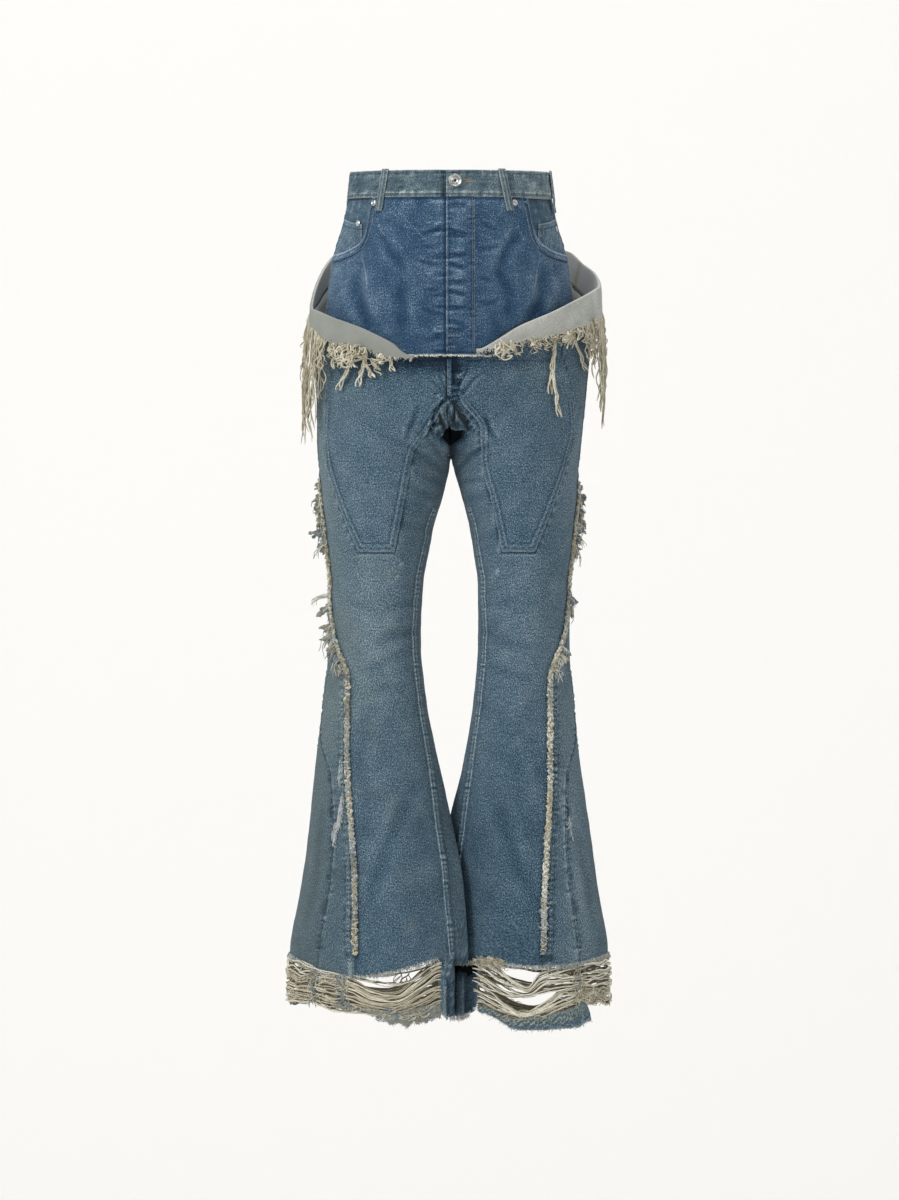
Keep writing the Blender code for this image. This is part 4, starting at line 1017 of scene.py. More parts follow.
def tail_wear_and_shade(side, angle, z):
    """Tone of the tail below the hem, with the worn edges of its felled seam; on the right, a painted shadow
    under the raw edge.
    """
    tail = (np.abs(angle) > TAIL_ANGLE[side] + 1) & (z < -1045)
    strip = np.abs(angle) - lerp(*TAIL_SEAM[side], blend(-z, 1030, 1088))
    seam = marks(strip, (0.9, -2.9, 0.9), (0.9, 2.9, 0.9), (0.55, 0, 2.4), (-0.5, 5.3, 1.5),
                 (-0.5, -5.3, 1.5))
    wash = tail * (seam - 0.35 + 0.35 * waves(z, strip, 44, 9.0))
    if side == "right":
        # Painted shadow in the hollow under the right leg's raw edge.
        gap = blend(np.abs(angle), 117, 121) * (1 - blend(np.abs(angle), 140, 150))
        wash = wash - 1.2 * bump(z, -1061, 10) * gap
    return wash


def make_leg_panel(side, face, edge):
    """Front or back of a leg, from the inner seam to edge(z), down to its raw hem."""
    sign = 1.0 if face == "front" else -1.0
    foot = FOOT_ANGLES[face]
    wide = 5 if face == "front" else 3
    column = refine(np.array(foot, float), [2 if a - b < 3 else wide for a, b in zip(foot[:-1], foot[1:])])
    part = ((column[0] - column) / (column[0] - column[-1]))[None, :]
    start_top = sign * inner_angle(side, np.array(FORK_TOP), face)
    foot_angle = lerp(sign * inner_angle(side, np.array(HEM_SIDE), face), edge(np.array(HEM_SIDE)), part)
    top = layer_top(side, lerp(start_top, edge(np.array(-200.0)), part))
    hem = hem_height(side, foot_angle)
    high, long, low = PANEL_ROWS[face]
    middle = np.broadcast_to(np.linspace(FORK_TOP, LEVELS_FOOT, long)[:, None], (long, part.shape[1]))
    z = np.concatenate([lerp(top, FORK_TOP, np.linspace(0, 1, high)[:-1, None]), middle,
                        lerp(LEVELS_FOOT, hem, np.linspace(0, 1, low)[1:, None])])
    angle = lerp(sign * inner_angle(side, z, face), edge(z), part)
    lift = np.zeros(z.shape)
    if side == "right":
        over = 1 - blend(-z, 288, 318)
        near = np.clip(1 - part * (part.shape[1] - 1) / 4.0, 0, 1)
        angle = angle + sign * over * degrees_of(side, CENTRE_LAP, z) * near
        lift = LAP_RISE * near * over
    outer = leg_surface(side, angle, z, lift)
    inner = leg_surface(side, angle, z, lift - DENIM)
    ragged = 1.6 * np.random.default_rng(3).uniform(-1, 1, z.shape[1])
    outer[-1, :, 2] += ragged
    inner[-1, :, 2] += ragged
    wash, tint = leg_wear_and_shade(side, angle, z)
    if face == "front":
        wash = wash + patch_shadow(side, angle, z)
    wash = wash + 0.55 * blend(-z, -hem - 4.5, -hem) + tail_wear_and_shade(side, angle, z)
    kept = None
    if side == "left":
        kept = ~((np.abs(angle[:-1, :-1]) > TAIL_CUT) & (z[:-1, :-1] < RAW_INNER))
    back = face == "back"
    # The back panels' inner faces are painted light, against the shade inside the hip.
    dress(f"leg_{face}_{side}", outer, inner, ["leg", "wrong"], wash, tint, kept=kept,
          origin=(200 * back + 500 * (side == "right"), 0), inner_wash=0.9 * back, rim=(0, 0, 1, 0))


def split_angle(side, z, gap):
    return np.where(z > GODET_TOP, back_bound(side, z, gap), side_bound(GODET, z, side, gap))


def make_side_pieces(side):
    """Side panel and godet of one leg."""
    for name, top, first, last, cols in (
            ("side_panel", SIDE_PANEL_TOP, lambda z: side_bound(FRAYED, z, side, -SEAM / 2),
             lambda z: split_angle(side, z, SEAM / 2), 14),
            ("godet", GODET_TOP, lambda z: split_angle(side, z - 0.01, -SEAM / 2),
             lambda z: back_bound(side, z, SEAM / 2), 26)):
        c = np.linspace(0, 1, cols + 1)[None, :]
        hem = hem_height(side, lerp(first(np.array(HEM_SIDE)), last(np.array(HEM_SIDE)), c))
        upper = np.broadcast_to(np.linspace(top, LEVELS_FOOT, 100)[:, None], (100, cols + 1))
        z = np.concatenate([upper, lerp(LEVELS_FOOT, hem, np.linspace(0, 1, 15)[1:, None])])
        angle = lerp(first(z), last(z), c)
        wash, tint = leg_wear_and_shade(side, angle, z)
        dress(f"{name}_{side}", leg_surface(side, angle, z), leg_surface(side, angle, z, -DENIM),
              ["leg", "wrong"], wash + 0.6 * blend(-z, -hem - 3.5, -hem), tint + 0.08, origin=(90, 30),
              rim=(0, 0, 1, 0))


def patch_angles(side, z):
    low = angle_at(side, track(PATCH[side], "inner", z), z)
    low = np.minimum(low, inner_angle(side, z, "front") - 1.5)
    return low, angle_at(side, track(PATCH[side], "outer", z), z)


def make_patch(side):
    """Thigh patch with a turned edge and two rows of stitches."""
    z = np.linspace(PATCH_TOP, PATCH_FOOT, 110)[:, None]
    c = 0.5 - 0.5 * np.cos(math.pi * np.linspace(0, 1, 56)[None, :])
    low, high = patch_angles(side, z)
    angle = lerp(low, high, c)
    z = np.broadcast_to(z, angle.shape)
    reach = reach_of(side, z)
    edge = np.minimum(np.minimum((low - angle) * reach, (angle - high) * reach), z - PATCH_FOOT)
    hem = 0.8 * (1 - blend(edge, 9.5, 12.0)) - 0.9 * (1 - blend(edge, 0.0, 1.6)) + 0.5 * bump(edge, 5, 2)
    ripple = pucker(z + angle * 0.7, edge - 5, 5.5, 7.0, 0.5, 6.0)
    rise = PATCH_RISE * blend(PATCH_TOP - z, 0.0, 16.0)
    flush = 0.2 + (DENIM - 0.2) * blend(PATCH_TOP - z, 0.0, 30.0)
    faded = blend(-z, 288.0, 300.0)
    wash, tint = leg_wear_and_shade(side, angle, z)
    worn = np.clip(0.8 * ripple, -0.5, 0.45) + 0.42 * (1 - blend(edge, 0.2, 1.7))
    worn = worn + marks(edge, (-0.45, 11.2, 1.4), (-0.22, 5.2, 1.6), (0.16, 2.2, 1.2), (0.34, 8.6, 1.3))
    # Painted light below the flap on the right patch, and painted shade there on the left one.
    top = (0.28 if side == "right" else -0.1) * bump(z, -252, 16) * blend(np.abs(angle - 90), 0, 30)
    dress(f"thigh_patch_{side}", leg_surface(side, angle, z, rise + flush + (hem + ripple) * faded),
          leg_surface(side, angle, z, rise - 0.3), ["leg", "wrong"], wash + worn * faded - 0.06 + top,
          tint * 0.35, origin=(40, 10))
    for inset in (2.0, 8.0):
        down = np.linspace(-292, PATCH_FOOT + inset, 160)
        first, last = patch_angles(side, down)
        shift = inset / reach_of(side, down)
        lift = PATCH_RISE + DENIM + 0.45
        sew(on_leg(side, first - shift, down, lift), seed=3)
        sew(on_leg(side, last + shift, down, lift), seed=4)
        across = np.linspace(first[-1] - shift[-1], last[-1] + shift[-1], 60)
        sew(on_leg(side, across, np.full(60, PATCH_FOOT + inset), lift), seed=5)


GUSSET = {
    # width, the foot of the inner and of the outer end, phase of the edge, lap over the centre, seed
    "left": (27.0, (-318.0, -342.0), 0, -0.3, 51),
    "right": (33.0, (-318.0, -334.0), 2, 3.5, 57),
}


def make_gusset(side):
    """Crumpled gusset beside the crotch seam; its lower edge stands off over the hollow."""
    width, foot, phase, over, seed = GUSSET[side]
    r, c = grid(44, 34)
    z = lerp(-286.0, lerp(*foot, c ** 0.7) + 2.2 * np.sin(7 * c + phase), r)
    low = inner_angle(side, z, "front") + degrees_of(side, over, z)
    angle = low - degrees_of(side, lerp(3.5, width, r ** 0.8), z) * c
    x = leg_point(side, angle, z)[..., 0]
    crinkle = 1.5 * waves(x, z, seed, 13.0) * np.sin(math.pi * (0.1 + 0.8 * c)) + 0.7 * waves(x, z, 58, 6.0)
    folds = 1.5 * creases(x, z, CROTCH_CREASES)
    stand = 7.0 * r ** 1.6 * (1 - 0.75 * blend(c, 0.35, 1.0)) - 1.2 * blend(c, 0.8, 1.0)
    lift = 2.2 + 0.8 * (side == "right") * (1 - blend(c, 0, 0.3)) + np.maximum(crinkle + folds, -1.6) + stand
    lift = lift + 0.3 * leg_relief(side, angle, z)[0]
    wash, tint = leg_wear_and_shade(side, angle, z)
    # Painted shade: the gusset is darker overall and along its inner edge at the foot; its crinkles are
    # lighter on ridges and darker in troughs, and its lower edge is lighter.
    wash = np.clip(wash, -0.35, 0.5) + np.clip(0.46 * crinkle + 0.34 * folds, -1.1, 0.6) - 0.80
    wash = wash + 0.75 * bump(r, 1.0, 0.05) * (c < 0.8) - 0.8 * bump(c, 0.0, 0.08) * r
    wash = wash + 0.3 * waves(x, z, 59, 5.0) + 0.3 * waves(x, z, 60, 2.8)
    outer, inner = (leg_point(side, angle, z, lift + level) for level in (0.9, -0.5))
    # Its inner faces are painted near black, as shade.
    dress(f"crotch_gusset_{side}", outer, inner,
          ["leg"], wash, tint + 0.08, inner_wash=-1.0)


def make_crotch_seam():
    """Near-black felled seam, painted shade, that closes the gap where the two legs meet, and a near-black
    skin of painted shade over the hollow on each side of it.
    """
    r, c = grid(24, 7, -1)
    z = lerp(-316.0, -367.0, r)
    outer, inner = (points(2.0 + c * lerp(7.0, 3.2, r), y - 1.5 * (1 - c ** 2), z) for y in (-4.0, -2.6))
    grid_shell("crotch_seam_painted_shade", outer, inner, ["deep"], -1.0)
    for side, reach in (("left", 10.5), ("right", 16.0)):
        r, c = grid(36, 18)
        z = lerp(-318.0, -352.0, r) + 0 * c
        wide = reach * np.clip(1 - np.abs((r - 0.42) / 0.6) ** 3, 0.05, 1) * (1 + 0.06 * np.sin(19 * r))
        make_hollow(f"crotch_painted_shade_{side}_cloth", side, angle_at(side, lerp(0.6, wide, c), z), z, 0.1)


def make_hollow(name, side, angle, z, lift):
    """Dark skin close over a leg, where the photograph shows deep shade."""
    outer = leg_surface(side, angle, z, lift + 0.5)
    grid_shell(name, outer, leg_surface(side, angle, z, lift), ["deep"], -1.0)


def make_tail_hollow():
    """Painted shade: near-black skin in the hollow under the raw edge where the right leg's tail begins."""
    r = np.linspace(0, 1, 14)[:, None]
    angle = np.linspace(119.0, 146.0, 60)[None, :]
    foot = -1065.0 - 4.5 * waves(angle * 2, 0 * angle, 28, 12.0) - 5.0 * bump(angle, 123, 3)
    make_hollow("hem_tail_painted_shade_cloth", "right", angle + 0 * r, lerp(-1051.0, foot, r), 0.2)


def make_seam_band(name, side, middle, top, foot, width, seed, light, rise=0.0):
    """Felled seam on a leg: a narrow raised band with worn edges and uneven puckers."""
    r, c = grid(max(24, int((top - foot) / 2.3)), 11, -1)
    z = lerp(top, foot, r) + 0 * c
    angle = middle(z) + degrees_of(side, c * width / 2, z)
    across = np.abs(c)
    tick = pucker(z, c * 2.0, 3.0, 6.5, 0.45, seed) + 0.25 * waves(z, c * width / 2, int(7 * seed) + 40, 7.0)
    outer = leg_surface(side, angle, z, rise + 1.3 - 0.9 * blend(across, 0.8, 1.0) + tick)
    wash, tint = leg_wear_and_shade(side, angle, z)
    worn = marks(across, (light, 0.86, 0.13), (-0.5, 0.5, 0.14), (0.25 * light, 0.0, 0.3))
    grid_shell(f"{name}_{side}_cloth", outer, leg_surface(side, angle, z, rise + 0.1), ["leg"],
               0.7 * wash + worn + 1.1 * tick, tint, origin=(30 * seed, 3500))


SEAM_BANDS = (
    # name, seam, its distance from the band's middle, top, foot, width, seed, light edge left and right
    ("inseam", INSEAM, 0.0, -436.0, -1040.0, 13.0, 2.3, (1.0, 1.0)),
    ("godet_seam", GODET, -2.6, -712.0, -1036.0, 5.5, 3.1, (0.4, 0.4)),
    ("panel_seam", BACK_SEAM, 0.0, -620.0, -1036.0, 8.0, 4.2, (0.4, 0.4)),
    ("fray_seam", FRAYED, -9.5, -628.0, -1036.0, 6.0, 1.7, (0.9, 0.3)),
)


def make_seam_bands():
    for k, side in enumerate(SIDES):
        for name, table, gap, top, foot, width, seed, light in SEAM_BANDS:
            make_seam_band(name, side, lambda z, seam=table, off=gap, leg=side: side_bound(seam, z, leg, off),
                           top, foot, width, seed, light[k])
    make_seam_band("centre_seam", "right", lambda z: inner_angle("right", z, "front") + 0.3, -238.0, -287.0,
                   5.0, 5.3, 0.9, rise=2.4)


LEG_STITCHES = (
    # seam, distances from it, top, foot, points, seed
    (INSEAM, (-3.0, 3.0), -450, -1040, 400, 11),
    (FRAYED, (-8.0, -12.5), -400, -1036, 420, 12),
    (GODET, (-5.0,), -745, -1038, 240, 13),
    (BACK_SEAM, (-4.0, 3.0), -640, -1038, 300, 14),
)
CENTRE_INSET = {"left": 3.6, "right": 8.0}


def sew_leg(side):
    """Sewn lines of a leg: inseam, beside the frayed seam, godet, back and centre seams."""
    for table, gaps, top, foot, count, seed in LEG_STITCHES:
        down = np.linspace(top, foot, count)
        for gap in gaps:
            sew(on_leg(side, side_bound(table, down, side, gap), down, 0.2), seed=seed)
    for face, sign, top, foot, count in (("front", 1.0, -238, -284, 80), ("back", -1.0, -118, -350, 160)):
        rise = np.linspace(top, foot, count)
        angle = inner_angle(side, rise, face) - degrees_of(side, CENTRE_INSET[side], rise)
        sew(on_leg(side, sign * angle, rise, 0.1), "dark_thread", seed=15)


def make_legs():
    make_crotch_seam()
    make_seam_bands()
    make_tail_hollow()
    for side in SIDES:
        make_leg_panel(side, "front", lambda z, leg=side: side_bound(FRAYED, z, leg, SEAM / 2))
        make_leg_panel(side, "back", lambda z, leg=side: back_bound(leg, z, -SEAM / 2))
        make_side_pieces(side)
        make_patch(side)
        make_gusset(side)
        sew_leg(side)


# ------------------------------------------------------------------ upper shell

UPPER_CREASES = (
    # start x, start z, end x, end z, half width, depth
    (-8, -60, -44, -72, 3.6, 0.9), (-8, -84, -36, -88, 3.2, 0.8), (-8, -112, -46, -106, 3.6, 0.9),
    (-8, -140, -34, -146, 3.2, 0.7), (-8, -178, -40, -170, 4.0, 0.8), (-9, -205, -34, -214, 4.0, 0.7),
    (40, -52, 66, -66, 3.6, 0.8), (38, -92, 70, -84, 3.6, 0.8), (38, -128, 62, -134, 3.6, 0.7),
    (38, -166, 66, -158, 3.8, 0.7), (-100, -60, -60, -120, 7.0, 0.9), (96, -60, 60, -130, 7.0, 0.9),
    (-130, -120, -110, -205, 9.0, 1.1), (130, -120, 112, -190, 9.0, 1.1),
    (-60, -130, -70, -220, 9.0, 0.8), (74, -120, 84, -190, 9.0, 0.8),
)
UPPER_STREAKS = (
    # start and end of thin worn lines, x and z
    ((-99, -44), (-92, -70)), ((-92, -68), (-72, -82)), ((-88, -30), (-44, -74)), ((-80, -26), (-30, -82)),
    ((-96, -54), (-88, -74)), ((-30, -22), (-8, -32)), ((-34, -52), (-8, -58)), ((-28, -98), (-8, -92)),
    ((-40, -120), (-8, -126)), ((88, -50), (104, -84)), ((42, -34), (64, -50)), ((40, -70), (60, -76)),
    ((-120, -92), (-108, -150)), ((122, -96), (112, -150)), ((-24, -160), (-8, -154)),
    ((-26, -196), (-8, -202)),
)


def upper_relief(turn, z):
    """Relief of the upper shell and the part of it from seams."""
    x = track(UPPER, "half", z) * np.sin(np.radians(turn))
    front = np.cos(np.radians(turn)) > 0
    relief = 0.5 * waves(x, z, 21, 80.0) + 0.2 * waves(x, z, 23, 26.0)
    relief = relief + front * 2.0 * creases(x, z, UPPER_CREASES)
    seams = front * (pucker(z, x - LAP_AT + 8, 10.0, 15.0, 1.0, 1.5)
                     + pucker(z, x - FLY_EDGE - 3, 6.0, 10.0, 0.35, 4.5))
    seams = seams + 0.6 * bump(z, WAIST_SEAM - 5, 10.0) * waves(turn * 2.4, z * 0.3, 26, 22.0)
    from_side = (np.abs(turn) - 90) * track(UPPER, "half", z) * math.pi / 180
    from_centre = (180 - np.abs(turn)) * 2.0
    seams = seams + pucker(z, from_side, 7.0, 9.0, 0.5, 0.7) + pucker(z, from_centre, 7.0, 9.0, 0.5, 0.4)
    return relief + seams, seams


def upper_surface(turn, z, lift=0.0):
    turn, z, lift = together(turn, z, lift)
    return upper_point(turn, z, lift + upper_relief(turn, z)[0])


def upper_wear_and_shade(turn, z):
    """Wear of the upper shell with painted shade below the waistband and beside the fly's lap, -1 dark to 1
    light, and its tint.
    """
    x = track(UPPER, "half", z) * np.sin(np.radians(turn))
    relief, seams = upper_relief(turn, z)
    wash = np.clip(0.17 * (relief - seams), -0.34, 0.34) + np.clip(0.42 * seams, -0.4, 0.5)
    wash = wash + 0.10 * waves(x, z, 61, 120.0) + 0.06 * waves(x, z, 62, 34.0) - 0.10 * blend(-z, 150, 225)
    # The dark line just below the waist seam is painted shadow of the band.
    wash = wash + marks(z, (0.12, WAIST_SEAM - 6, 9), (-0.55, WAIST_SEAM - 1.6, 1.7))
    front = np.cos(np.radians(turn)) > 0
    # Worn streaks, and a painted shadow just beside the fly's lap edge.
    wash = wash + front * (0.55 * wear_and_shade_lines(x, z, UPPER_STREAKS) - 0.6 * bump(x, LAP_AT - 2.2, 1.5))
    return wash + 0.10 * bump(np.abs(turn), 84, 16), 0.05 * blend(waves(x, z, 67, 90.0), 0.2, 1.0)


def make_waistband():
    """Band with a lap: the under end steps in below the upper one at the front."""
    start = float(turn_at(LAP_AT, 0.0))
    end = 360 + float(turn_at(LAP_AT + LAP_WIDTH, 0.0))
    r, c = grid(20, 340)
    turn, z = together(lerp(end, start, c), lerp(WAIST_TOP, WAIST_SEAM + SEAM, r))
    under = blend(turn, 353, 357) * (BAND + SEAM)
    reach = track(UPPER, "half", z) * math.pi / 180
    low_gap = z - WAIST_SEAM
    near = np.minimum(WAIST_TOP - z, low_gap)
    seams = pucker(turn * 2.2, near - 4, 4.5, 8.0, 0.3, 1.1)
    seams = seams + 0.55 * bump(near, 4.0, 6.0) * waves(turn * 2.2, z * 0.5, 74, 17.0)
    belly = (0.8 * waves(turn * reach, z, 71, 42.0) + 0.4 * waves(turn * reach, z, 72, 15.0))
    belly = belly * np.clip(near / 6, 0, 1)
    roll = -1.1 * (1 - blend(near, 0.0, 2.4)) - 0.5 * bump(near, 4.4, 1.0)
    wash = 0.75 * (1 - blend(near, 0.3, 2.2)) + np.clip(0.9 * seams, -0.6, 0.6) - 0.10 + 0.34 * belly
    wash = wash + marks(near, (-0.6, 4.4, 1.0), (0.3, 6.4, 1.2))
    wash = wash + marks(low_gap, (0.3, 6.4, 1.3), (0.16, 5.0, 5.0))
    # A painted shadow on the band just beside the lap's edge; the band is lighter towards the right front.
    wash = wash + marks(turn, (0.3, 70, 32), (-0.6, 360 + start - 1.2, 1.4))
    wash = wash + 0.16 * waves(turn * reach, z, 73, 45.0) + 0.22 * waves(turn * reach * 0.12, z, 75, 9.0)
    lap = (turn - start) * reach
    wash = wash + 0.6 * (1 - blend(lap, 0.3, 1.8)) + marks(lap, (0.25, 5.0, 1.4), (-0.3, 3.0, 1.0))
    dress("waistband", upper_point(turn, z, DENIM + roll + seams + belly - under),
          upper_point(turn, z, DENIM - BAND - 0.3 * roll - under), ["band", "wrong"], wash)
    around = np.linspace(start + 0.8, 352, 1500)
    for level in (WAIST_TOP - 3.4, WAIST_SEAM + 3.6):
        sew(on_upper(around, np.full(1500, level), DENIM + 0.1), seed=21)
    rise = np.linspace(WAIST_TOP - 3, WAIST_SEAM + 3, 60)
    sew(on_upper(turn_at(LAP_AT + 3.2, rise), rise, DENIM + 0.1), seed=22)


LOOP_HALF = 5.7
LOOP_TOP = 19.5
LOOP_FOOT = -38.0
LOOP_ARCH = 1.3
LOOPS = {
    # turns of the top and the foot of each belt loop
    "front_left": (turn_at(-86.4, 10), turn_at(-95.8, -38)),
    "front_right": (turn_at(68.9, 10), turn_at(81, -38)),
    "side_left": (-103.0, -103.0),
    "side_right": (83.0, 83.0),
    "back": (180.0, 180.0),
}


def make_belt_loops():
    for name, (turn_top, turn_foot) in LOOPS.items():
        r, c = grid(40, 11)
        z = lerp(LOOP_TOP, LOOP_FOOT, r)
        turn = lerp(turn_top, turn_foot, r) + np.degrees(LOOP_HALF / track(UPPER, "half", z)) * (2 * c - 1)
        z = np.broadcast_to(z, turn.shape)
        seat = lerp(0.9, DENIM + SEAM, blend(z, WAIST_SEAM - 10, WAIST_SEAM - 2))
        seat = seat + LOOP_ARCH * np.sin(math.pi * r) ** 0.7
        across = np.abs(2 * c - 1)
        ends = 0.5 * (bump(r, 0.04, 0.03) + bump(r, 0.95, 0.03))
        shape = 0.5 * bump(c, 0.5, 0.16) - 0.8 * blend(across, 0.78, 1.0) + ends
        shape = shape + pucker(z, (across - 0.8) * 5, 2.5, 5.0, 0.3, 0.9)
        wash = 0.15 + 0.6 * blend(across, 0.72, 0.95) + 0.3 * waves(z, across * 5, 83, 12.0) + 0.3 * ends
        wash = wash + marks(c, (-0.5, 0.26, 0.07), (-0.5, 0.74, 0.07), (0.25, 0.5, 0.12))
        dress(f"belt_loop_{name}", upper_point(turn, z, 1.8 + seat + shape), upper_point(turn, z, seat),
              ["band", "wrong"], wash, 0.1)
        for level, base in ((LOOP_TOP - 3.0, DENIM + SEAM), (LOOP_FOOT + 3.2, 0.9)):
            part = (LOOP_TOP - level) / (LOOP_TOP - LOOP_FOOT)
            turns = lerp(turn_top, turn_foot, part) + np.degrees(np.linspace(-4.2, 4.2, 12) / 140.0)
            lift = 1.9 + base + LOOP_ARCH * math.sin(math.pi * part) ** 0.7
            for k in range(7):
                sew(on_upper(turns, np.full(12, level + (k - 3) * 0.5), lift), length=9.0, cover=0.95,
                    height=0.3, seed=30 + k)


def front_grid(side, rows):
    """Turns and heights of a front panel's points, with the scooped pocket mouth."""
    xs = np.array(POCKET["x"], float)
    xs[0] = LAP_AT + SEAM if side == "right" else -LAP_AT
    tops = np.array(POCKET["top"], float)
    top_turn = turn_at(xs, tops)
    low_turn = turn_at(xs, UPPER_HEM)
    top_turn[-1] = low_turn[-1] = 89.8
    at = np.arange(len(xs))
    k = refine(at.astype(float), (16, 13, 10) + (4,) * 9)
    top, low = (SIGN[side] * np.interp(k, at, turns)[None, :] for turns in (top_turn, low_turn))
    r = np.linspace(0, 1, rows)[:, None]
    return lerp(top, low, r), lerp(np.interp(k, at, tops)[None, :], upper_hem(low), r)


def make_upper_fronts():
    for side in SIDES:
        sign = SIGN[side]
        turn, z = front_grid(side, 100)
        wash, tint = upper_wear_and_shade(turn, z)
        x = np.abs(upper_surface(turn, z)[..., 0])
        near = np.where(x > 100, np.interp(x, POCKET["x"], POCKET["top"]) - z, FAR)
        hem = 1.0 * (1 - blend(near, 7.0, 9.0)) + 0.4 * bump(near, 4.5, 1.6)
        ripple = pucker(x + z, near - 4, 5.0, 7.0, 0.5, 2.2)
        wash = wash + 0.95 * (1 - blend(near, 0.2, 2.0)) + 0.3 * (1 - blend(near, 7.0, 8.0))
        wash = wash + np.clip(0.9 * ripple, -0.5, 0.5) + marks(near, (-0.6, 9.4, 1.5), (-0.4, 3.4, 1.0))
        wash = wash + 0.12 * blend(x, 96, 130) * blend(z, -175, -110)
        wash = wash + 1.3 * (1 - blend(z - UPPER_HEM, 0.0, 1.2)) * (np.abs(turn) < 20)
        dress(f"upper_front_{side}", upper_surface(turn, z, hem + ripple), upper_surface(turn, z, -DENIM),
              ["upper", "wrong"], wash, tint, origin=(300 * (side == "right"), 600))
        slide = np.linspace(0, 1, 9)
        fine = np.linspace(0, 1, 120)
        for inset in (2.2, 7.6):
            line_x = np.interp(fine, slide, np.array(POCKET["x"][3:12]) - inset * (1 - slide))
            level = np.array(POCKET["top"][3:12]) - inset * np.clip(slide * 1.6, 0, 1)
            line_z = np.interp(fine, slide, level)
            sew(on_upper(sign * turn_at(line_x, line_z), line_z, 0.75), "dark_thread", seed=41)
        down = np.linspace(-100, -170, 90)
        for beside in (87.5, 84.8):
            sew(on_upper(np.full(90, sign * beside), down, 0.4), "dark_thread", seed=42)


FLY_BUTTONS = (-48, -84, -120, -156)
FLY_DENTS = (
    # height at the free edge and how much higher the dent is at its inner end
    (-34, 5), (-64, -6), (-73, 3), (-101, 6), (-111, -4), (-137, 5), (-147, -3), (-172, 6),
    (-186, -6), (-201, 5),
)


def make_fly():
    """Strip over the hidden buttons: swells over each button and puckers at its edges."""
    r, c = grid(130, 24)
    z = lerp(WAIST_SEAM - SEAM, UPPER_HEM + 4, r)
    x = lerp(LAP_AT, FLY_EDGE, c)
    turn, z, x = together(turn_at(x, z), z, x)
    buttons = sum(bump(z, level, 9.0) for level in FLY_BUTTONS) * bump(x, 13, 9.0)
    dents = sum(crease(x, z, (LAP_AT - 2, level), (24, level + tilt), 3.6, 1.1) for level, tilt in FLY_DENTS)
    edge = np.minimum(x - LAP_AT, FLY_EDGE - x)
    ripple = pucker(z, edge - 3, 5.5, 9.0, 0.75, 3.3)
    shape = 1.8 * buttons + 1.7 * dents + ripple - 0.9 * (1 - blend(edge, 0.0, 1.6))
    wash, tint = upper_wear_and_shade(turn, z)
    wash = wash + 0.26 * buttons + np.clip(0.42 * dents, -0.5, 0.4) + np.clip(0.5 * ripple, -0.35, 0.4)
    wash = wash + 0.9 * (1 - blend(edge, 0.2, 1.5)) - 0.4 * bump(edge, 3.6, 1.2)
    dress("fly_placket", upper_surface(turn, z, SEAM + 1.2 + shape), upper_surface(turn, z, SEAM - 0.9),
          ["upper", "wrong"], wash, tint, origin=(150, 900))
    down = np.linspace(WAIST_SEAM - 2, UPPER_HEM + 6, 300)
    for x, thread in ((LAP_AT + 2.2, "dark_thread"), (FLY_EDGE - 3.2, "brown_thread")):
        sew(on_upper(turn_at(x, down), down, SEAM + 1.6), thread, seed=51)
    for level, last in ((-207.0, 14.0), (-222.0, 8.0)):
        for k in range(3):
            row = np.full(40, level + k * 0.8)
            sew(on_upper(turn_at(np.linspace(LAP_AT + 3, last, 40), row), row, SEAM + 1.6), "dark_thread",
                seed=52 + k)


COIN_X = 121.0            # inner edge of the coin pocket


def coin_top(c):
    """Height of the coin pocket's slanted mouth."""
    return -46 - 8 * (1 - c)


def make_pockets():
    """Facing inside each pocket mouth, with the coin pocket on it."""
    for side in SIDES:
        sign = SIGN[side]
        r, c = grid(34, 34)
        z = lerp(WAIST_SEAM - SEAM, -116.0, r)
        turn = sign * lerp(turn_at(94.0, z), 89.6, c)
        z = np.broadcast_to(z, turn.shape)
        lift = FACING + 0.4 * waves(turn * 2.5, z, 87, 30.0) + (-0.3 - FACING) * blend(np.abs(turn), 79, 89)
        wash, tint = upper_wear_and_shade(turn, z)
        dress(f"pocket_facing_{side}", upper_point(turn, z, lift), upper_point(turn, z, lift - 1.0),
              ["upper", "wrong"], wash - 0.02 + 0.5 * waves(turn * 1.2, z, 88, 16.0), tint + 0.3,
              origin=(100, 1200))
        r, c = grid(60, 48)
        z = lerp(coin_top(c), -112.0, r)
        turn = sign * lerp(turn_at(COIN_X, z), 84.0, c)
        drop = coin_top(c) - z
        hem = 0.6 * (1 - blend(drop, 6.0, 7.5)) - 0.5 * (1 - blend(drop, 0, 1.2))
        lift = FACING + (-0.3 - FACING) * blend(np.abs(turn), 79, 89)
        wash, tint = upper_wear_and_shade(turn, z)
        wash = wash + 0.26 + 0.9 * (1 - blend(drop, 0.2, 1.8)) - 0.5 * bump(drop, 7.5, 1.2)
        wash = wash + 0.35 * waves(turn * 2.4, z, 89, 14.0) + 0.8 * (1 - blend(c * 60, 0.2, 2.2))
        wash = wash + marks(c * 60, (-0.45, 9.0, 1.6), (-0.3, 3.6, 1.0))
        dress(f"coin_pocket_{side}", upper_point(turn, z, lift + 1.7 + hem), upper_point(turn, z, lift + 0.6),
              ["upper", "wrong"], wash, tint + 0.3, origin=(40, 1500))
        across = np.linspace(0, 1, 50)
        for inset in (1.8, 6.2):
            level = coin_top(across) - inset
            sew(on_upper(sign * lerp(turn_at(COIN_X, level), 84.0, across), level, FACING + 2.3),
                "dark_thread", seed=61)
        down = np.linspace(-56, -90, 40)
        for inset in (2.0, 6.5):
            sew(on_upper(sign * turn_at(COIN_X + inset, down), down, FACING + 1.9), "dark_thread", seed=62)


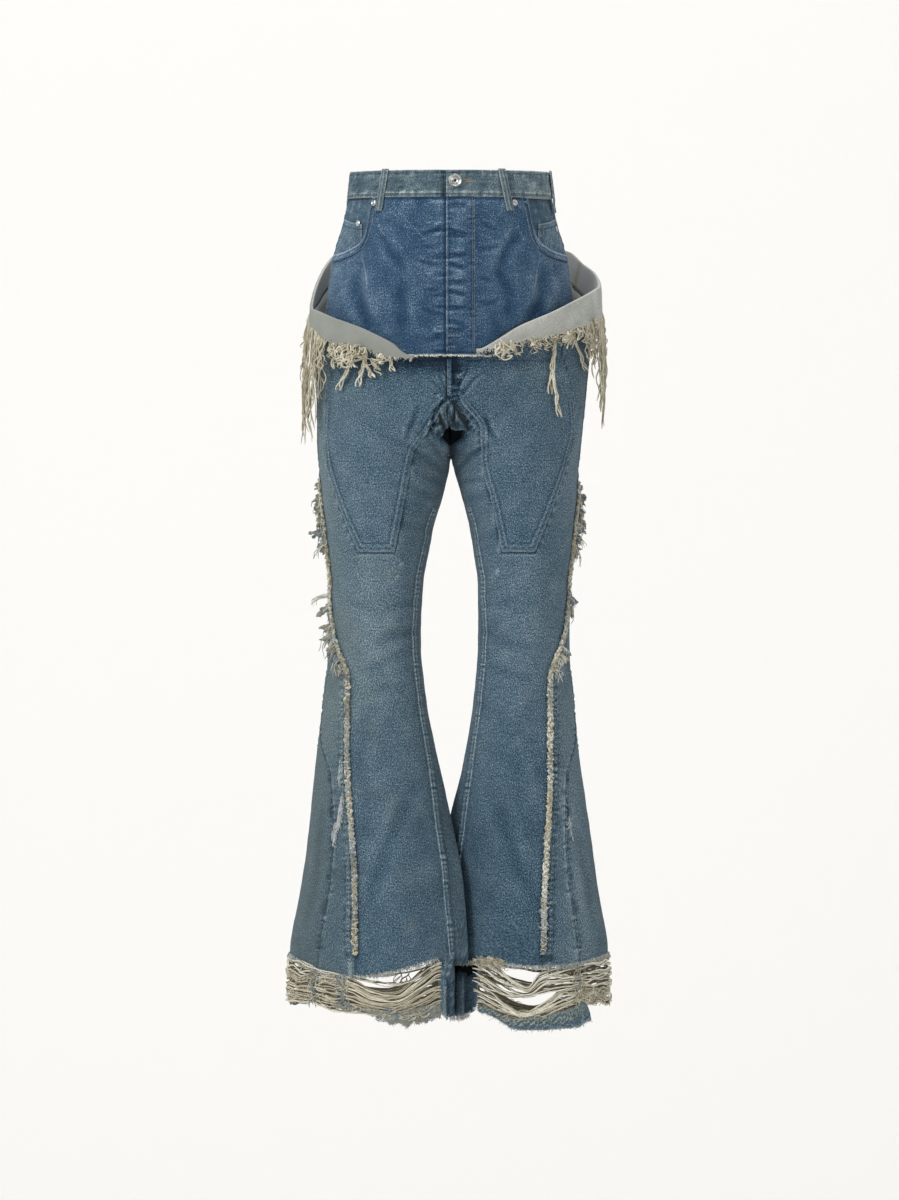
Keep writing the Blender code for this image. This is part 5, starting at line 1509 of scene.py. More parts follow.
def make_yokes():
    """Back of the upper shell, one half on each side."""
    for side in SIDES:
        r, c = grid(34, 60)
        turn = SIGN[side] * lerp(90.1, 179.9, c)
        turn, z = together(turn, lerp(WAIST_SEAM - SEAM, upper_hem(turn), r))
        wash, tint = upper_wear_and_shade(turn, z)
        dress(f"back_yoke_{side}", upper_surface(turn, z), upper_surface(turn, z, -DENIM), ["upper", "wrong"],
              wash, tint, origin=(700, 300))
    down = np.linspace(-20, -98, 120)
    for turn in (178.8, 181.2):
        sew(on_upper(np.full(120, turn), down, 0.4), "dark_thread", seed=71)


BUTTON_X, BUTTON_Z = 6.8, 2.7
BUTTON_RIM = [(8.5 + 0.45 * math.sin(a), 3.1 - 0.9 * math.cos(a)) for a in np.linspace(0, math.pi, 9)]
BUTTON = [(3.4, 0.0), (3.4, 1.3), (7.6, 1.5)] + BUTTON_RIM + [
    (7.7, 3.9), (7.0, 3.5), (6.4, 3.0), (5.6, 2.85), (4.6, 3.0), (4.2, 3.3), (3.7, 3.3), (3.3, 2.9),
    (2.9, 2.5)]
BUTTON_MIDDLE = [(2.95, 2.0), (2.95, 2.45), (2.0, 2.5), (1.6, 2.9), (0.9, 3.2), (0.3, 3.25)]
RIVET = [(2.2, 0.0), (4.2, 0.2), (4.35, 0.5), (4.2, 0.9), (3.6, 1.3), (2.8, 1.55), (2.3, 1.6), (1.9, 1.3),
         (1.5, 1.25), (1.2, 1.6), (0.7, 1.95), (0.2, 2.05)]
RIVETS = {
    # turn, height and level of each rivet
    "front_left": (turn_at(-102.6, -26.3), -26.3, 0.0),
    "front_right": (turn_at(87.1, -26.3), -26.3, 0.0),
    "coin_left": (turn_at(-125.6, -52.7), -52.7, FACING + 1.8),
    "side_right": (83.0, -59.5, FACING + 1.8),
}


def make_hardware():
    """Shank button, the thread of its buttonhole, and the rivets."""
    turn = turn_at(BUTTON_X, BUTTON_Z)
    seat = upper_point(turn, BUTTON_Z, DENIM + SEAM)
    outward = upper_point(turn, BUTTON_Z, 10.0) - seat
    turned("button_face", BUTTON, 64, seat, outward, "steel", ["button"])
    turned("button_middle", BUTTON_MIDDLE, 40, seat, outward, "dark_metal")
    for t in np.linspace(0, 1, 30):
        for way in (-1.0, 1.0):
            line = np.linspace(2.7 + way * 0.3, 2.7 + way * (2.8 if t > 0.85 else 1.7) * 1.5, 8)
            sew(on_upper(turn_at(lerp(9.0, 29.0, t), line), line, DENIM + 0.15), "brown_thread",
                length=3.2, cover=0.9, height=0.35, seed=81)
    for name, (turn, z, level) in RIVETS.items():
        seat = upper_point(turn, z, level + SEAM)
        turned(f"rivet_{name}_metal", RIVET, 32, seat, upper_point(turn, z, 12.0) - seat, "steel",
               [f"rivet_{name}"])


# ------------------------------------------------------------------ folded hip layer

def fold_section(side, turn):
    """Middle line of the folded cloth for an array of turns: (turn, point, 3)."""
    rim, out = rim_base(side, turn)
    rim_z = rim_row(side, turn, "rim")
    raw_z = rim_row(side, turn, "raw") + 1.1 * np.sin(turn * 1.9) + 0.8 * np.sin(turn * 4.3 + 1)
    seam_z = rim_row(side, turn, "seam") + 1.2
    share = blend(turn, *LAP_TURN)
    shell = rim - out * 1.8
    shell[:, 2] = lerp(rim_z - 3.0, seam_z, share)
    foot = lerp(shell, leg_point(side, 90 - turn, seam_z, -DENIM / 2), share[:, None])
    foot[:, 2] = np.minimum(shell[:, 2], rim_z - 2.6)
    bulge = lerp(rim, foot, 0.5) - out * 0.9
    bulge[:, 2] = lerp(rim_z - 1.2, np.minimum(foot[:, 2], np.minimum(rim_z - 3.5, seam_z)), 0.45)
    line = [foot, bulge] + [rim + out * off + UP * (rim_z + rise)[:, None]
                            for off, rise in ((-1.6, -1.0), (-0.2, 0.2), (1.5, -1.0))]
    hang = np.minimum(1.0, (rim_z - raw_z) / 30.0)
    for t in (0.25, 0.5, 0.75, 1.0):
        bow = 1.6 + 2.2 * hang * math.sin(math.pi * 0.6 * t)
        wave = t * hang * 1.6 * np.sin(turn * 0.31 + (1.0 if side == "left" else 2.4))
        level = lerp(rim_z - 1.0, raw_z, t)
        line.append(rim + out * np.maximum(bow + wave, 1.2)[:, None] + UP * level[:, None])
    return np.stack(line, axis=1)


def smooth_rows(line, steps):
    """Catmull-Rom curve through the points of each row."""
    count = line.shape[1]
    padded = np.concatenate([2 * line[:, :1] - line[:, 1:2], line, 2 * line[:, -1:] - line[:, -2:-1]], axis=1)
    out = []
    for k in range(count - 1):
        p0, p1, p2, p3 = (padded[:, k + i] for i in range(4))
        for t in np.linspace(0, 1, steps, endpoint=False):
            out.append(0.5 * (2 * p1 + (p2 - p0) * t + (2 * p0 - 5 * p1 + 4 * p2 - p3) * t * t
                              + (3 * p1 - p0 - 3 * p2 + p3) * t ** 3))
    out.append(line[:, -1])
    return np.stack(out, axis=0)


def make_flap(side):
    """Cloth folded outwards round the hip, its wrong side out."""
    turns = np.linspace(RIM_START[side], 179.87, 150)
    middle = smooth_rows(fold_section(side, turns), 4)
    normal = unit(np.cross(np.gradient(middle, axis=1), np.gradient(middle, axis=0)) * -SIGN[side])
    part = np.linspace(0, 1, middle.shape[0])[:, None]
    run, down = turns[None, :] * 3.2, part * 40
    ripple = blend(part, 0.42, 0.55) * (0.5 * waves(run, down, 95, 46.0) + 0.25 * waves(run, down, 97, 18.0))
    middle[-1, :, 2] += np.random.default_rng(8).uniform(-0.9, 0.9, len(turns))
    outer = middle + normal * (DENIM / 2 + ripple)[..., None]
    inner = middle - normal * (DENIM / 2 - ripple)[..., None]
    # The right flap is painted lighter against the shade on that side, and the inner face (part below 0.42)
    # is painted light against the shade inside the fold.
    wash = 0.12 * waves(run, down, 99, 60.0) + 0.5 * blend(part, 0.965, 1.0) + 0.62 * (side == "right")
    wash = wash + 0.25 * bump(part, 0.45, 0.03) + 0.9 * (1 - blend(part, 0.36, 0.42))
    stain = 0.55 * bump(turns[None, :], 118 if side == "right" else 300, 1.2) * (part < 0.4)
    dress(f"hip_flap_{side}", outer, inner, ["wrong", "leg"], wash, stain + 0.05, origin=(60, 1800),
          held="folded", rim=(1, 1, 1, 1), thin=False)


# ------------------------------------------------------------------ yarns

def strand_paths(rng, roots, out, length, steps, splay, curl, gather=0.0):
    """Hanging threads: (count, steps, 3) from roots, falling by length with soft bends."""
    count = len(roots)
    t = np.linspace(0, 1, steps)[None, :, None]
    across = unit(np.cross(out, -UP))
    path = roots[:, None] - UP * t * length[:, None, None]
    sway = rng.uniform(-1, 1, (count, 1, 1))
    for k in range(3):
        rate = rng.uniform(0.7, 1.6, (count, 1, 1)) * (k + 1)
        phase = rng.uniform(0, 2 * math.pi, (count, 2, 1))
        size = curl * rng.uniform(0.4, 1.0, (count, 1, 1)) / (k + 1) ** 0.8
        path = path + across[:, None] * np.sin(2 * math.pi * rate * t + phase[:, :1]) * size * t ** 0.7
        path = path + out[:, None] * np.sin(2 * math.pi * rate * t + phase[:, 1:]) * size * 0.6 * t
    path = path + out[:, None] * (splay * rng.uniform(0.5, 1.0, (count, 1, 1))) * t * (1.5 - t)
    return path + across[:, None] * sway * gather * t


def edge_roots(side, turns, inset=0.0):
    """Points on the fold's raw edge and the outward direction there."""
    line = fold_section(side, turns)[:, -1]
    line[:, 2] = rim_row(side, turns, "raw") + inset
    return line, rim_base(side, turns)[1]


FRINGES = (
    # name, turn from, turn to, strands, shortest, longest, splay, curl, radius
    ("hip_left", 60, 101, 64, 70, 172, 13, 6.5, 0.95),
    ("hip_right", 62, 97, 84, 70, 172, 3, 5.0, 1.0),
    ("front_left", 27, 60, 26, 8, 40, 3, 8.0, 1.0),
    ("front_right", 18, 62, 30, 5, 26, 3, 6.0, 0.95),
    ("back_left", 101, 178, 60, 10, 62, 3, 7.0, 0.85),
    ("back_right", 101, 178, 60, 10, 66, 3, 7.0, 0.85),
)
HIP_SHARES = {"hip_left": (0.35, 18), "hip_right": (0.3, 11)}    # least length, spread of the long ones
LONGEST_TURN = 84
FRINGE_STEPS = 18


def make_fringes():
    rng = np.random.default_rng(412)
    for name, first, last, count, short, long, splay, curl, radius in FRINGES:
        turns = np.sort(rng.uniform(first, last, count))
        roots, out = edge_roots(name.split("_")[1], turns, 1.0)
        length = lerp(short, long, rng.uniform(0, 1, count) ** 1.1)
        if name in HIP_SHARES:
            least, width = HIP_SHARES[name]
            length = length * lerp(least, 1.0, bump(turns, LONGEST_TURN, width))
        path = strand_paths(rng, roots, out, length, FRINGE_STEPS, splay, curl, gather=4.0)
        push = rng.uniform(0.0, 5.0, (count, 1, 1)) * np.linspace(0.2, 1, FRINGE_STEPS)[None, :, None]
        path = path + out[:, None] * push
        tubes(f"fringe_{name}_threads", path, radius * rng.uniform(0.6, 1.15, count), 4, ["yarn"],
              rng.uniform(-0.35, 0.45, count), replaces=[f"fringe_{name}"])


CLUSTERS = (
    # side, turn, drop below the raw edge, radius of the curls, number of curls
    ("left", 56, 8, 7, 4), ("left", 51, 16, 10, 6), ("left", 46, 24, 8, 6), ("left", 43, 10, 7, 3),
    ("left", 39, 5, 4, 3), ("left", 31, 14, 5, 3), ("left", 29, 5, 3, 3),
    ("right", 18, 4, 4, 6), ("right", 21, 7, 6, 7), ("right", 24, 5, 4, 4), ("right", 33, 4, 4, 4),
    ("right", 51, 9, 7, 7), ("right", 57, 7, 5, 4), ("right", 71, 4, 4, 4),
    ("left", 130, 7, 5, 5), ("left", 160, 8, 6, 5), ("right", 125, 8, 6, 5), ("right", 158, 8, 6, 5),
)
SINGLES = (
    # long threads in front of a leg: side, x and z of the start, x and z of the end
    ("left", -124, -232, -147, -279), ("left", -108, -228, -121, -274), ("left", -112, -238, -101, -262),
    ("left", -80, -228, -75, -254), ("right", 138, -203, 131, -284), ("right", 133, -250, 143, -316),
    ("right", 160, -206, 178, -252), ("right", 138, -203, 134, -252), ("right", 80, -216, 90, -232),
    ("right", 72, -214, 66, -230),
)


def make_tangles():
    """Knots and curls of loose yarn along the raw edge, and the long single threads."""
    rng = np.random.default_rng(77)
    paths = []
    t = np.linspace(0, 1, 28)
    for side, turn, drop, size, count in CLUSTERS:
        root, out = edge_roots(side, np.array([float(turn)]), -drop)
        across = np.cross(out[0], UP)
        for _ in range(count):
            phase, other = rng.uniform(0, 2 * math.pi, 2)
            wide = size * rng.uniform(0.4, 1.0)
            curl_x = wide * (np.sin(rng.uniform(3, 8) * t + phase)
                             + 0.5 * np.sin(rng.uniform(9, 17) * t + other))
            curl_x = curl_x + rng.uniform(-size, size) * 0.8
            curl_z = wide * (np.sin(rng.uniform(3, 8) * t + other)
                             + 0.5 * np.sin(rng.uniform(9, 17) * t + phase))
            curl_z = curl_z - rng.uniform(0, 1.6) * size * t ** 2 + rng.uniform(-4, 7)
            depth = 1.8 + rng.uniform(0.2, 3.0) + 1.4 * np.sin(5 * t + phase)
            paths.append(root[0] + across * curl_x[:, None] + out[0] * depth[:, None] + UP * curl_z[:, None])
    for side, x0, z0, x1, z1 in SINGLES:
        for k in range(3):
            x = lerp(x0, x1, t) + (2.6 * np.sin(5 * t + 2.1 * k) + 1.5 * np.sin(13 * t + k)) * t ** 0.5
            z = lerp(z0, z1, t)
            lift = 8.0 + 2.0 * np.sin(math.pi * t + k) + k * 0.6
            paths.append(leg_point(side, angle_at(side, np.abs(x), z), z, lift))
    tone = rng.uniform(-0.1, 0.75, len(paths))
    tubes("raw_edge_tangles", paths, 1.12 * rng.uniform(0.7, 1.2, len(paths)), 5, ["yarn"], tone)


def make_edge_hairs():
    """Short frayed threads on every raw edge of the denim."""
    rng = np.random.default_rng(900)
    paths, tones, picks = [], [], []

    def grow(roots, out, low, high, yarn_share, side_push=0.6, pale=0.0):
        count = len(roots)
        length = rng.uniform(low, high, count)[:, None, None]
        t = np.linspace(0, 1, 4)[None, :, None]
        across = np.cross(out, UP)[:, None]
        path = roots[:, None] - UP * t * length
        path = path + across * rng.uniform(-1, 1, (count, 1, 1)) * side_push * length * t
        path = path + out[:, None] * (0.3 + rng.uniform(0, 0.5, (count, 1, 1)) * length * t)
        paths.append(path + across * np.sin(6 * t + rng.uniform(0, 6, (count, 1, 1))) * 0.7 * t)
        tones.append(pale + rng.uniform(-0.3, 0.9, count))
        picks.append(draw_blue(rng, count, yarn_share))

    turns = rng.uniform(-19, 19, 260)
    z = UPPER_HEM + 0.2 + 1.0 * waves(turns * 2.4, 0 * turns, 27, 15.0)
    here, out = on_upper(turns, z, rng.uniform(0.2, 1.6, 260))
    grow(here, unit(out), 0.8, 3.4, 0.95, side_push=1.4, pale=0.9)
    for side in SIDES:
        roots, out = edge_roots(side, rng.uniform(RIM_START[side], 179, 440), 0.8)
        grow(roots + out * 0.2, out, 2.0, 6.5, 0.75)
        stop = TAIL_ANGLE[side] - 1
        reaches = ((-stop, 0, 320), (0, stop, 860), (stop + 3, 168, 120), (-168, -stop - 3, 50))
        for low, high, count in reaches:
            angle = rng.uniform(low, high, count)
            level = hem_height(side, angle) + rng.uniform(-0.5, 3.0, count)
            here = leg_surface(side, angle, level, rng.uniform(0.0, 1.4, count))
            grow(here, outward_at(side, angle, level), 1.6, 6.5, 0.22)
    angle = rng.uniform(118.5, 144, 190)
    here = leg_surface("right", angle, RAW_INNER + rng.uniform(-1, 2, 190), rng.uniform(0.8, 2.4, 190))
    grow(here, outward_at("right", angle, RAW_INNER), 2.0, 8.0, 0.6, side_push=1.3)
    tubes("raw_edge_hairs", np.concatenate(paths), 0.4, 3, ["yarn", "blue_yarn"], np.concatenate(tones),
          pick=np.concatenate(picks))


# Edges of the yarn bundles at angles round a leg (front positive), heights in millimetres.
BUNDLES = {
    "left": {
        "angle": (-129, -120, -108, -95, -82, -68, -52, -36, -20, 0, 20, 32, 40, 49, 60, 67.6, 75.6,
                  84, 93.5, 103, 111, 120, 129),
        "loose_top": (-1056, -1062, -1068, -1073, -1071, -1066, -1060, -1052, -1046, -1042, -1047,
                      -1049, -1054, -1061, -1063, -1067, -1071, -1073, -1077, -1079, -1075, -1062,
                      -1051),
        "loose_foot": (-1057, -1063, -1070, -1077, -1076, -1069, -1062, -1054, -1048, -1044, -1049,
                       -1052, -1056, -1063, -1065, -1069, -1073, -1076, -1081, -1083, -1078, -1064,
                       -1052),
        "main_top": (-1056, -1066, -1082, -1092, -1090, -1076, -1064, -1055, -1049, -1044, -1050,
                     -1057, -1056, -1063, -1065, -1068, -1075, -1087, -1091, -1089, -1075, -1059,
                     -1047),
        "main_foot": (-1108, -1112, -1116, -1120, -1118, -1113, -1112, -1108, -1110, -1107, -1108,
                      -1107, -1106, -1111, -1115, -1116, -1118, -1121, -1125, -1127, -1124, -1117,
                      -1108),
    },
    "right": {
        "angle": (-119, -110, -100, -90, -80, -68, -54, -40, -20, 0, 14, 28.7, 43.9, 53.3, 61.6, 65.9,
                  69.4, 73, 78.7, 83.2, 87.7, 91.7, 98, 102.6, 109.2, 119.1),
        "loose_top": (-1046, -1048, -1050, -1053, -1056, -1058, -1057, -1053, -1048, -1045, -1047,
                      -1049, -1052, -1054, -1057, -1059, -1061, -1063, -1066, -1085, -1083, -1077,
                      -1068, -1060, -1050, -1046),
        "loose_foot": (-1056, -1060, -1064, -1068, -1070, -1072, -1072, -1070, -1066, -1062, -1064,
                       -1066, -1068, -1070, -1072, -1072, -1072, -1073, -1077, -1091, -1089, -1086,
                       -1080, -1076, -1066, -1056),
        "mid_top": (-1057, -1062, -1072, -1082, -1086, -1078, -1074, -1071, -1067, -1063, -1065,
                    -1067, -1069, -1071, -1073, -1073, -1073, -1074, -1079, -1092, -1092, -1091,
                    -1085, -1079, -1067, -1057),
        "mid_foot": (-1078, -1084, -1089, -1091, -1092, -1090, -1087, -1085, -1083, -1082, -1083,
                     -1084, -1085, -1086, -1087, -1088, -1089, -1090, -1094, -1097, -1098, -1098.5,
                     -1098, -1096, -1090, -1078),
        "low_top": (-1079, -1086, -1102, -1115, -1117, -1110, -1092, -1086, -1084, -1083, -1084,
                    -1085, -1086, -1087, -1089, -1093, -1098, -1103, -1111, -1116, -1118, -1118,
                    -1109, -1102, -1092, -1079),
        "low_foot": (-1114, -1118, -1122, -1124, -1125, -1121, -1115, -1110, -1110, -1110, -1109,
                     -1107, -1107, -1110, -1114, -1117, -1120, -1124, -1127, -1128, -1128, -1128,
                     -1127, -1124, -1119, -1116),
    },
}
BUNDLE_YARNS = {"left": (("loose", 2), ("main", 25)), "right": (("loose", 7), ("mid", 7), ("low", 12))}
GATHERS = {"left": (44, 66, -40, -104), "right": (48, -52, -110)}    # angles where the yarns are tied
YARN_STEPS = 140
# The layer behind is painted dark, as shade behind the front yarns.
YARN_LAYERS = ((0.6, 0.22, 1), (-2.6, -0.95, 0))    # depth, share of dark, 1 for the layer in front


def smooth_noise(rng, rows, cols, width):
    """Rows of noise smoothed along their length, about 1 high."""
    kernel = np.hanning(width + 2)[1:-1]
    kernel /= math.sqrt(float(np.sum(kernel ** 2)))
    raw = rng.normal(0, 1, (rows, cols + width))
    return np.array([np.convolve(row, kernel, "same")[width // 2:width // 2 + cols] for row in raw])


def bundle_edge(side, name, angle):
    """Heights of one edge of a bundle, its corners rounded."""
    kernel = np.hanning(9)[1:-1] / np.hanning(9).sum()
    line = np.interp(angle, BUNDLES[side]["angle"], BUNDLES[side][name])
    return np.convolve(np.pad(line, 3, "edge"), kernel, "valid")[None]


def bundle_paths(side, bundle, count, angle, inset, layer, rng):
    """Yarns of one bundle, drawn together in pairs and pinched at the gathers."""
    top, foot = (bundle_edge(side, f"{bundle}_{edge}", angle) for edge in ("top", "foot"))
    level = (np.arange(count) + 0.5 * layer + 0.25)[:, None] / count
    pair = np.round(np.arange(count) / 2.6)[:, None] * 2.6 / count
    level = lerp(level, pair + 0.5 / count, 0.62)
    level = np.clip(level + rng.uniform(-0.3, 0.3, (count, 1)) / count, 0.0, 1.0)
    level = level + smooth_noise(rng, count, YARN_STEPS, 28) * 0.5 / count
    shared = smooth_noise(rng, count // 2 + 1, YARN_STEPS, 20)[np.arange(count) // 2]
    level = level + shared * 0.55 / count
    z = lerp(top, foot, np.clip(level, 0.0, 1.02)) + 0.45 * smooth_noise(rng, count, YARN_STEPS, 7)
    z = z + 0.9 * np.sin(angle * 0.33 + 6.0 * level) * bump(angle, 25, 30)
    z = z + 0.9 * np.sin(angle * 0.41) * bump(angle, -40, 60)
    depth = inset + 1.0 * smooth_noise(rng, count, YARN_STEPS, 22)
    depth = depth + 1.1 * np.sin(9.0 * level + angle * 0.05)
    depth = depth - 2.0 * sum(bump(angle, gather, 3.2) for gather in GATHERS[side])
    depth = depth - 2.2 * (1 - blend(level * (bundle != "low"), 0.0, 0.12))
    bulge = 2.0 * bump(angle, 5, 26) * np.sin(math.pi * np.clip(level, 0, 1))
    return leg_point(side, np.broadcast_to(angle, z.shape), z, depth + bulge)


def make_hem_yarns():
    """Loose weft yarns in sagging bundles between the raw hem and the lowest strip."""
    for side, seed, light in (("left", 5, 0.22), ("right", 6, 0.36)):
        rng = np.random.default_rng(seed)
        front = np.linspace(YARN_ANGLE[side], -18, YARN_STEPS - 28)
        angle = np.concatenate([front, np.linspace(-18, -YARN_ANGLE[side], 29)[1:]])
        paths, radii, tones = [], [], []
        for layer, (inset, tone, shown) in enumerate(YARN_LAYERS):
            for bundle, count in BUNDLE_YARNS[side]:
                paths.append(bundle_paths(side, bundle, count, angle, inset, layer, rng))
                radii.append(1.02 * rng.uniform(0.72, 1.2, count))
                tones.append(tone + light * shown + rng.uniform(-0.5, 0.34, count))
        tubes(f"hem_yarns_{side}", np.concatenate(paths), np.concatenate(radii), 4, ["yarn"],
              np.concatenate(tones), replaces=[f"yarn_band_front_{side}", f"yarn_band_back_{side}"])
        make_hem_ties(side, rng)


TIES, CURLS, ENDS = 20, 50, 34


def make_hem_ties(side, rng):
    """Crossing warp ends at the gathers, curls over the yarns and ends at their torn edges."""
    table = BUNDLES[side]
    first, last = BUNDLE_YARNS[side][0][0], BUNDLE_YARNS[side][-1][0]

    def height(name, angle):
        return float(np.interp(angle, table["angle"], table[name]))
    paths, tones = [], []
    t = np.linspace(0, 1, 12)
    for gather in GATHERS[side]:
        top, foot = height(first + "_top", gather) + 3, height(last + "_foot", gather) - 1
        for k in range(TIES):
            start = rng.uniform(0, 0.65)
            end = min(start + rng.uniform(0.25, 0.6), 1.05)
            a = gather + rng.uniform(-4.0, 4.0) + 1.6 * np.sin(5 * t + rng.uniform(0, 6)) + 3 * (t - 0.5)
            z = lerp(top, foot, start + (end - start) * t)
            paths.append(leg_point(side, a, z, rng.uniform(0.6, 2.2) + 0.7 * np.sin(11 * t + k)))
            tones.append(rng.uniform(-0.5, 0.4))
    for k in range(CURLS):
        a0 = rng.uniform(-118, 118) if k < 22 else rng.uniform(-12, 50)
        foot = height(last + "_foot", a0)
        z0 = lerp(height(last + "_top", a0), foot, rng.uniform(0.1, 0.95))
        a = a0 + rng.uniform(5, 18) * t + 2.0 * np.sin(7 * t + k)
        z = z0 + rng.uniform(-8, 8) * t + 2.6 * np.sin(9 * t + k)
        paths.append(leg_point(side, a, np.maximum(z, foot - 2), 2.4 + 0.8 * np.sin(5 * t)))
        tones.append(rng.uniform(-0.2, 0.5))
    for k in range(ENDS):
        if side == "left":
            a = rng.uniform(88, 124) + rng.uniform(-9, 9) * t + 2 * np.sin(8 * t + k)
            z = rng.uniform(-1127, -1110) + 2.2 * np.sin(11 * t + 2 * k) - 3 * t
        else:
            a = rng.uniform(101, 117) + rng.uniform(-6, 6) * t + 1.5 * np.sin(9 * t + k)
            z = rng.uniform(-1056, -1042) + 2.2 * np.sin(12 * t + k) - 5 * t
        paths.append(leg_point(side, a, z, 2.6 + 0.9 * np.sin(6 * t)))
        tones.append(rng.uniform(-0.5, 0.5))
    pick = draw_blue(rng, len(paths), 0.55)
    pick[-ENDS - CURLS:-ENDS] = 0
    if side == "right":
        pick[-ENDS:] = 0
    tubes(f"hem_ties_{side}", paths, 0.6 * rng.uniform(0.7, 1.2, len(paths)), 4, ["yarn", "blue_yarn"],
          tones, pick=pick)


STRIPS = {
    # strip edges round a leg: angle, top and foot of the torn denim under the yarns
    "left": {"angle": (60, 70, 80, 86, 92, 97, 103, 108, 113, 119, 126, 132),
             "top": (-1106, -1108, -1112, -1113, -1115, -1117, -1115, -1113, -1110, -1108, -1108, -1110),
             "foot": (-1110, -1113, -1115, -1122, -1124, -1133, -1132, -1138, -1131, -1131, -1125, -1124)},
    "right": {"angle": (38, 45, 49, 60, 75, 90, 95, 99, 108, 117),
              "top": (-1101, -1105, -1112, -1118.5, -1124, -1128, -1129, -1126, -1115, -1110),
              "foot": (-1129, -1133, -1138, -1140, -1142, -1142, -1141, -1135, -1124, -1118)},
}


def make_hem_strip(side, face):
    """Lowest torn strip of denim under the yarns, with its frayed edges."""
    table = STRIPS[side]
    right = side == "right"
    sign, grain, count = (1.0, 1.0, 330) if face == "front" else (-1.0, 2.0, 140)
    angle = np.linspace(table["angle"][0], table["angle"][-1], 100)[None, :]
    torn = 0.9 if right else 3.0
    ragged = torn * (1.3 * waves(angle * 2, grain + 0 * angle, 46, 13.0)
                     + 0.9 * waves(angle * 2, grain + 0 * angle, 49, 4.5))
    top = np.interp(angle, table["angle"], table["top"]) + 0.8 * ragged
    foot = np.interp(angle, table["angle"], table["foot"]) + ragged
    part = np.linspace(0, 1, 12)[:, None]
    z = lerp(top, foot, part)
    angle = sign * (angle + 7.0 * right * (1 - part) * (1 - blend(angle, 38, 60)))
    wave = 1.2 * waves(angle * 2, z, 47, 20.0) + 0.6 * waves(angle * 2, z, 45, 7.0)
    wave = wave + 2.4 * np.sin(math.pi * part) * (1.0 if right else 0.5)
    wash = 0.6 * waves(angle * 2, z, 48, 8.0) + 0.5 * (1 - blend(np.minimum(top - z, z - foot), 0.0, 2.4))
    if right:
        flecks = bump(part, 0.3, 0.26) * blend(np.abs(angle), 46, 54)
        wash = wash + flecks * (4.5 * waves(angle * 3, z, 53, 3.2) + 0.1)
        wash = wash + 0.6 * bump(part, 0.94, 0.05) + 0.6 * bump(np.abs(angle), 47, 0.8)
    else:
        wash = wash - 0.3
    outer, inner = (leg_point(side, angle, z, wave + level) for level in (1.0, -0.5))
    dress(f"hem_strip_{face}_{side}", outer, inner,
          ["leg" if right else "wrong", "wrong"], wash, 0.1 + 0.4 * right * bump(part, 0.3, 0.3),
          origin=(10, 2400), rim=(1, 1, 1, 1))
    rng = np.random.default_rng(14)
    spot = rng.uniform(0, 1, count)
    upper = rng.uniform(0, 1, count) < 0.4
    a = lerp(table["angle"][0], table["angle"][-1], spot)
    low, high = (np.interp(a, table["angle"], table[edge]) for edge in ("foot", "top"))
    here = leg_point(side, sign * a, np.where(upper, high, low) + 1.0, rng.uniform(-0.5, 2.4, count))[:, None]
    out = outward_at(side, sign * a, low)[:, None]
    t = np.linspace(0, 1, 4)[None, :, None]
    run = rng.uniform(2.0, 6.5, (count, 1, 1)) * t
    rise = np.where(upper, rng.uniform(-0.6, 0.9, count), rng.uniform(-0.9, -0.1, count))[:, None, None]
    aside = np.cross(out, UP) * rng.uniform(-1, 1, (count, 1, 1))
    path = here + UP * run * rise + aside * run + out * 0.9 * t
    tubes(f"hem_strip_hairs_{face}_{side}", path, 0.34, 3, ["yarn", "blue_yarn"],
          rng.uniform(-0.4, 0.6, count), pick=draw_blue(rng, count, 0.45))


# ------------------------------------------------------------------ frayed side seams

FRAY_TOP = -400.0


def fray_place(side, z, off, lift):
    """Point on a side seam, off millimetres from its middle line along the cloth."""
    return leg_surface(side, side_bound(FRAYED, z, side, off), z, lift)


def make_side_frays():
    """Frayed seams: a raw strip, knotted cords, a pile of short ends and ragged tatters."""
    for side, seed, drift in (("left", 21, 31), ("right", 22, 37)):
        rng = np.random.default_rng(seed)
        z = np.linspace(FRAY_TOP, HEM_SIDE + 4, 220)[:, None]
        c = np.linspace(-1, 1, 7)[None, :]
        off = c * (2.5 + 1.3 * waves(z, 0 * z, 32, 17.0, 3)) + 2.2 * waves(z, 0 * z, drift, 34.0, 4)
        z = np.broadcast_to(z, off.shape)
        lump = 1.3 * np.sqrt(np.clip(1 - c ** 2, 0, 1)) + 0.5 * waves(z, c * 4, 34, 7.0, 4)
        grid_shell(f"side_fray_{side}_strip", fray_place(side, z, off, 0.7 + np.maximum(lump, 0.3)),
                   fray_place(side, z, off, 0.3), ["yarn"], 0.1 * waves(z, c * 4, 36, 9.0) - 0.4,
                   replaces=[f"side_fray_{side}"])
        make_fray_cords(side, rng)
        make_fray_pile(side, rng)
        make_tatters(side, rng)


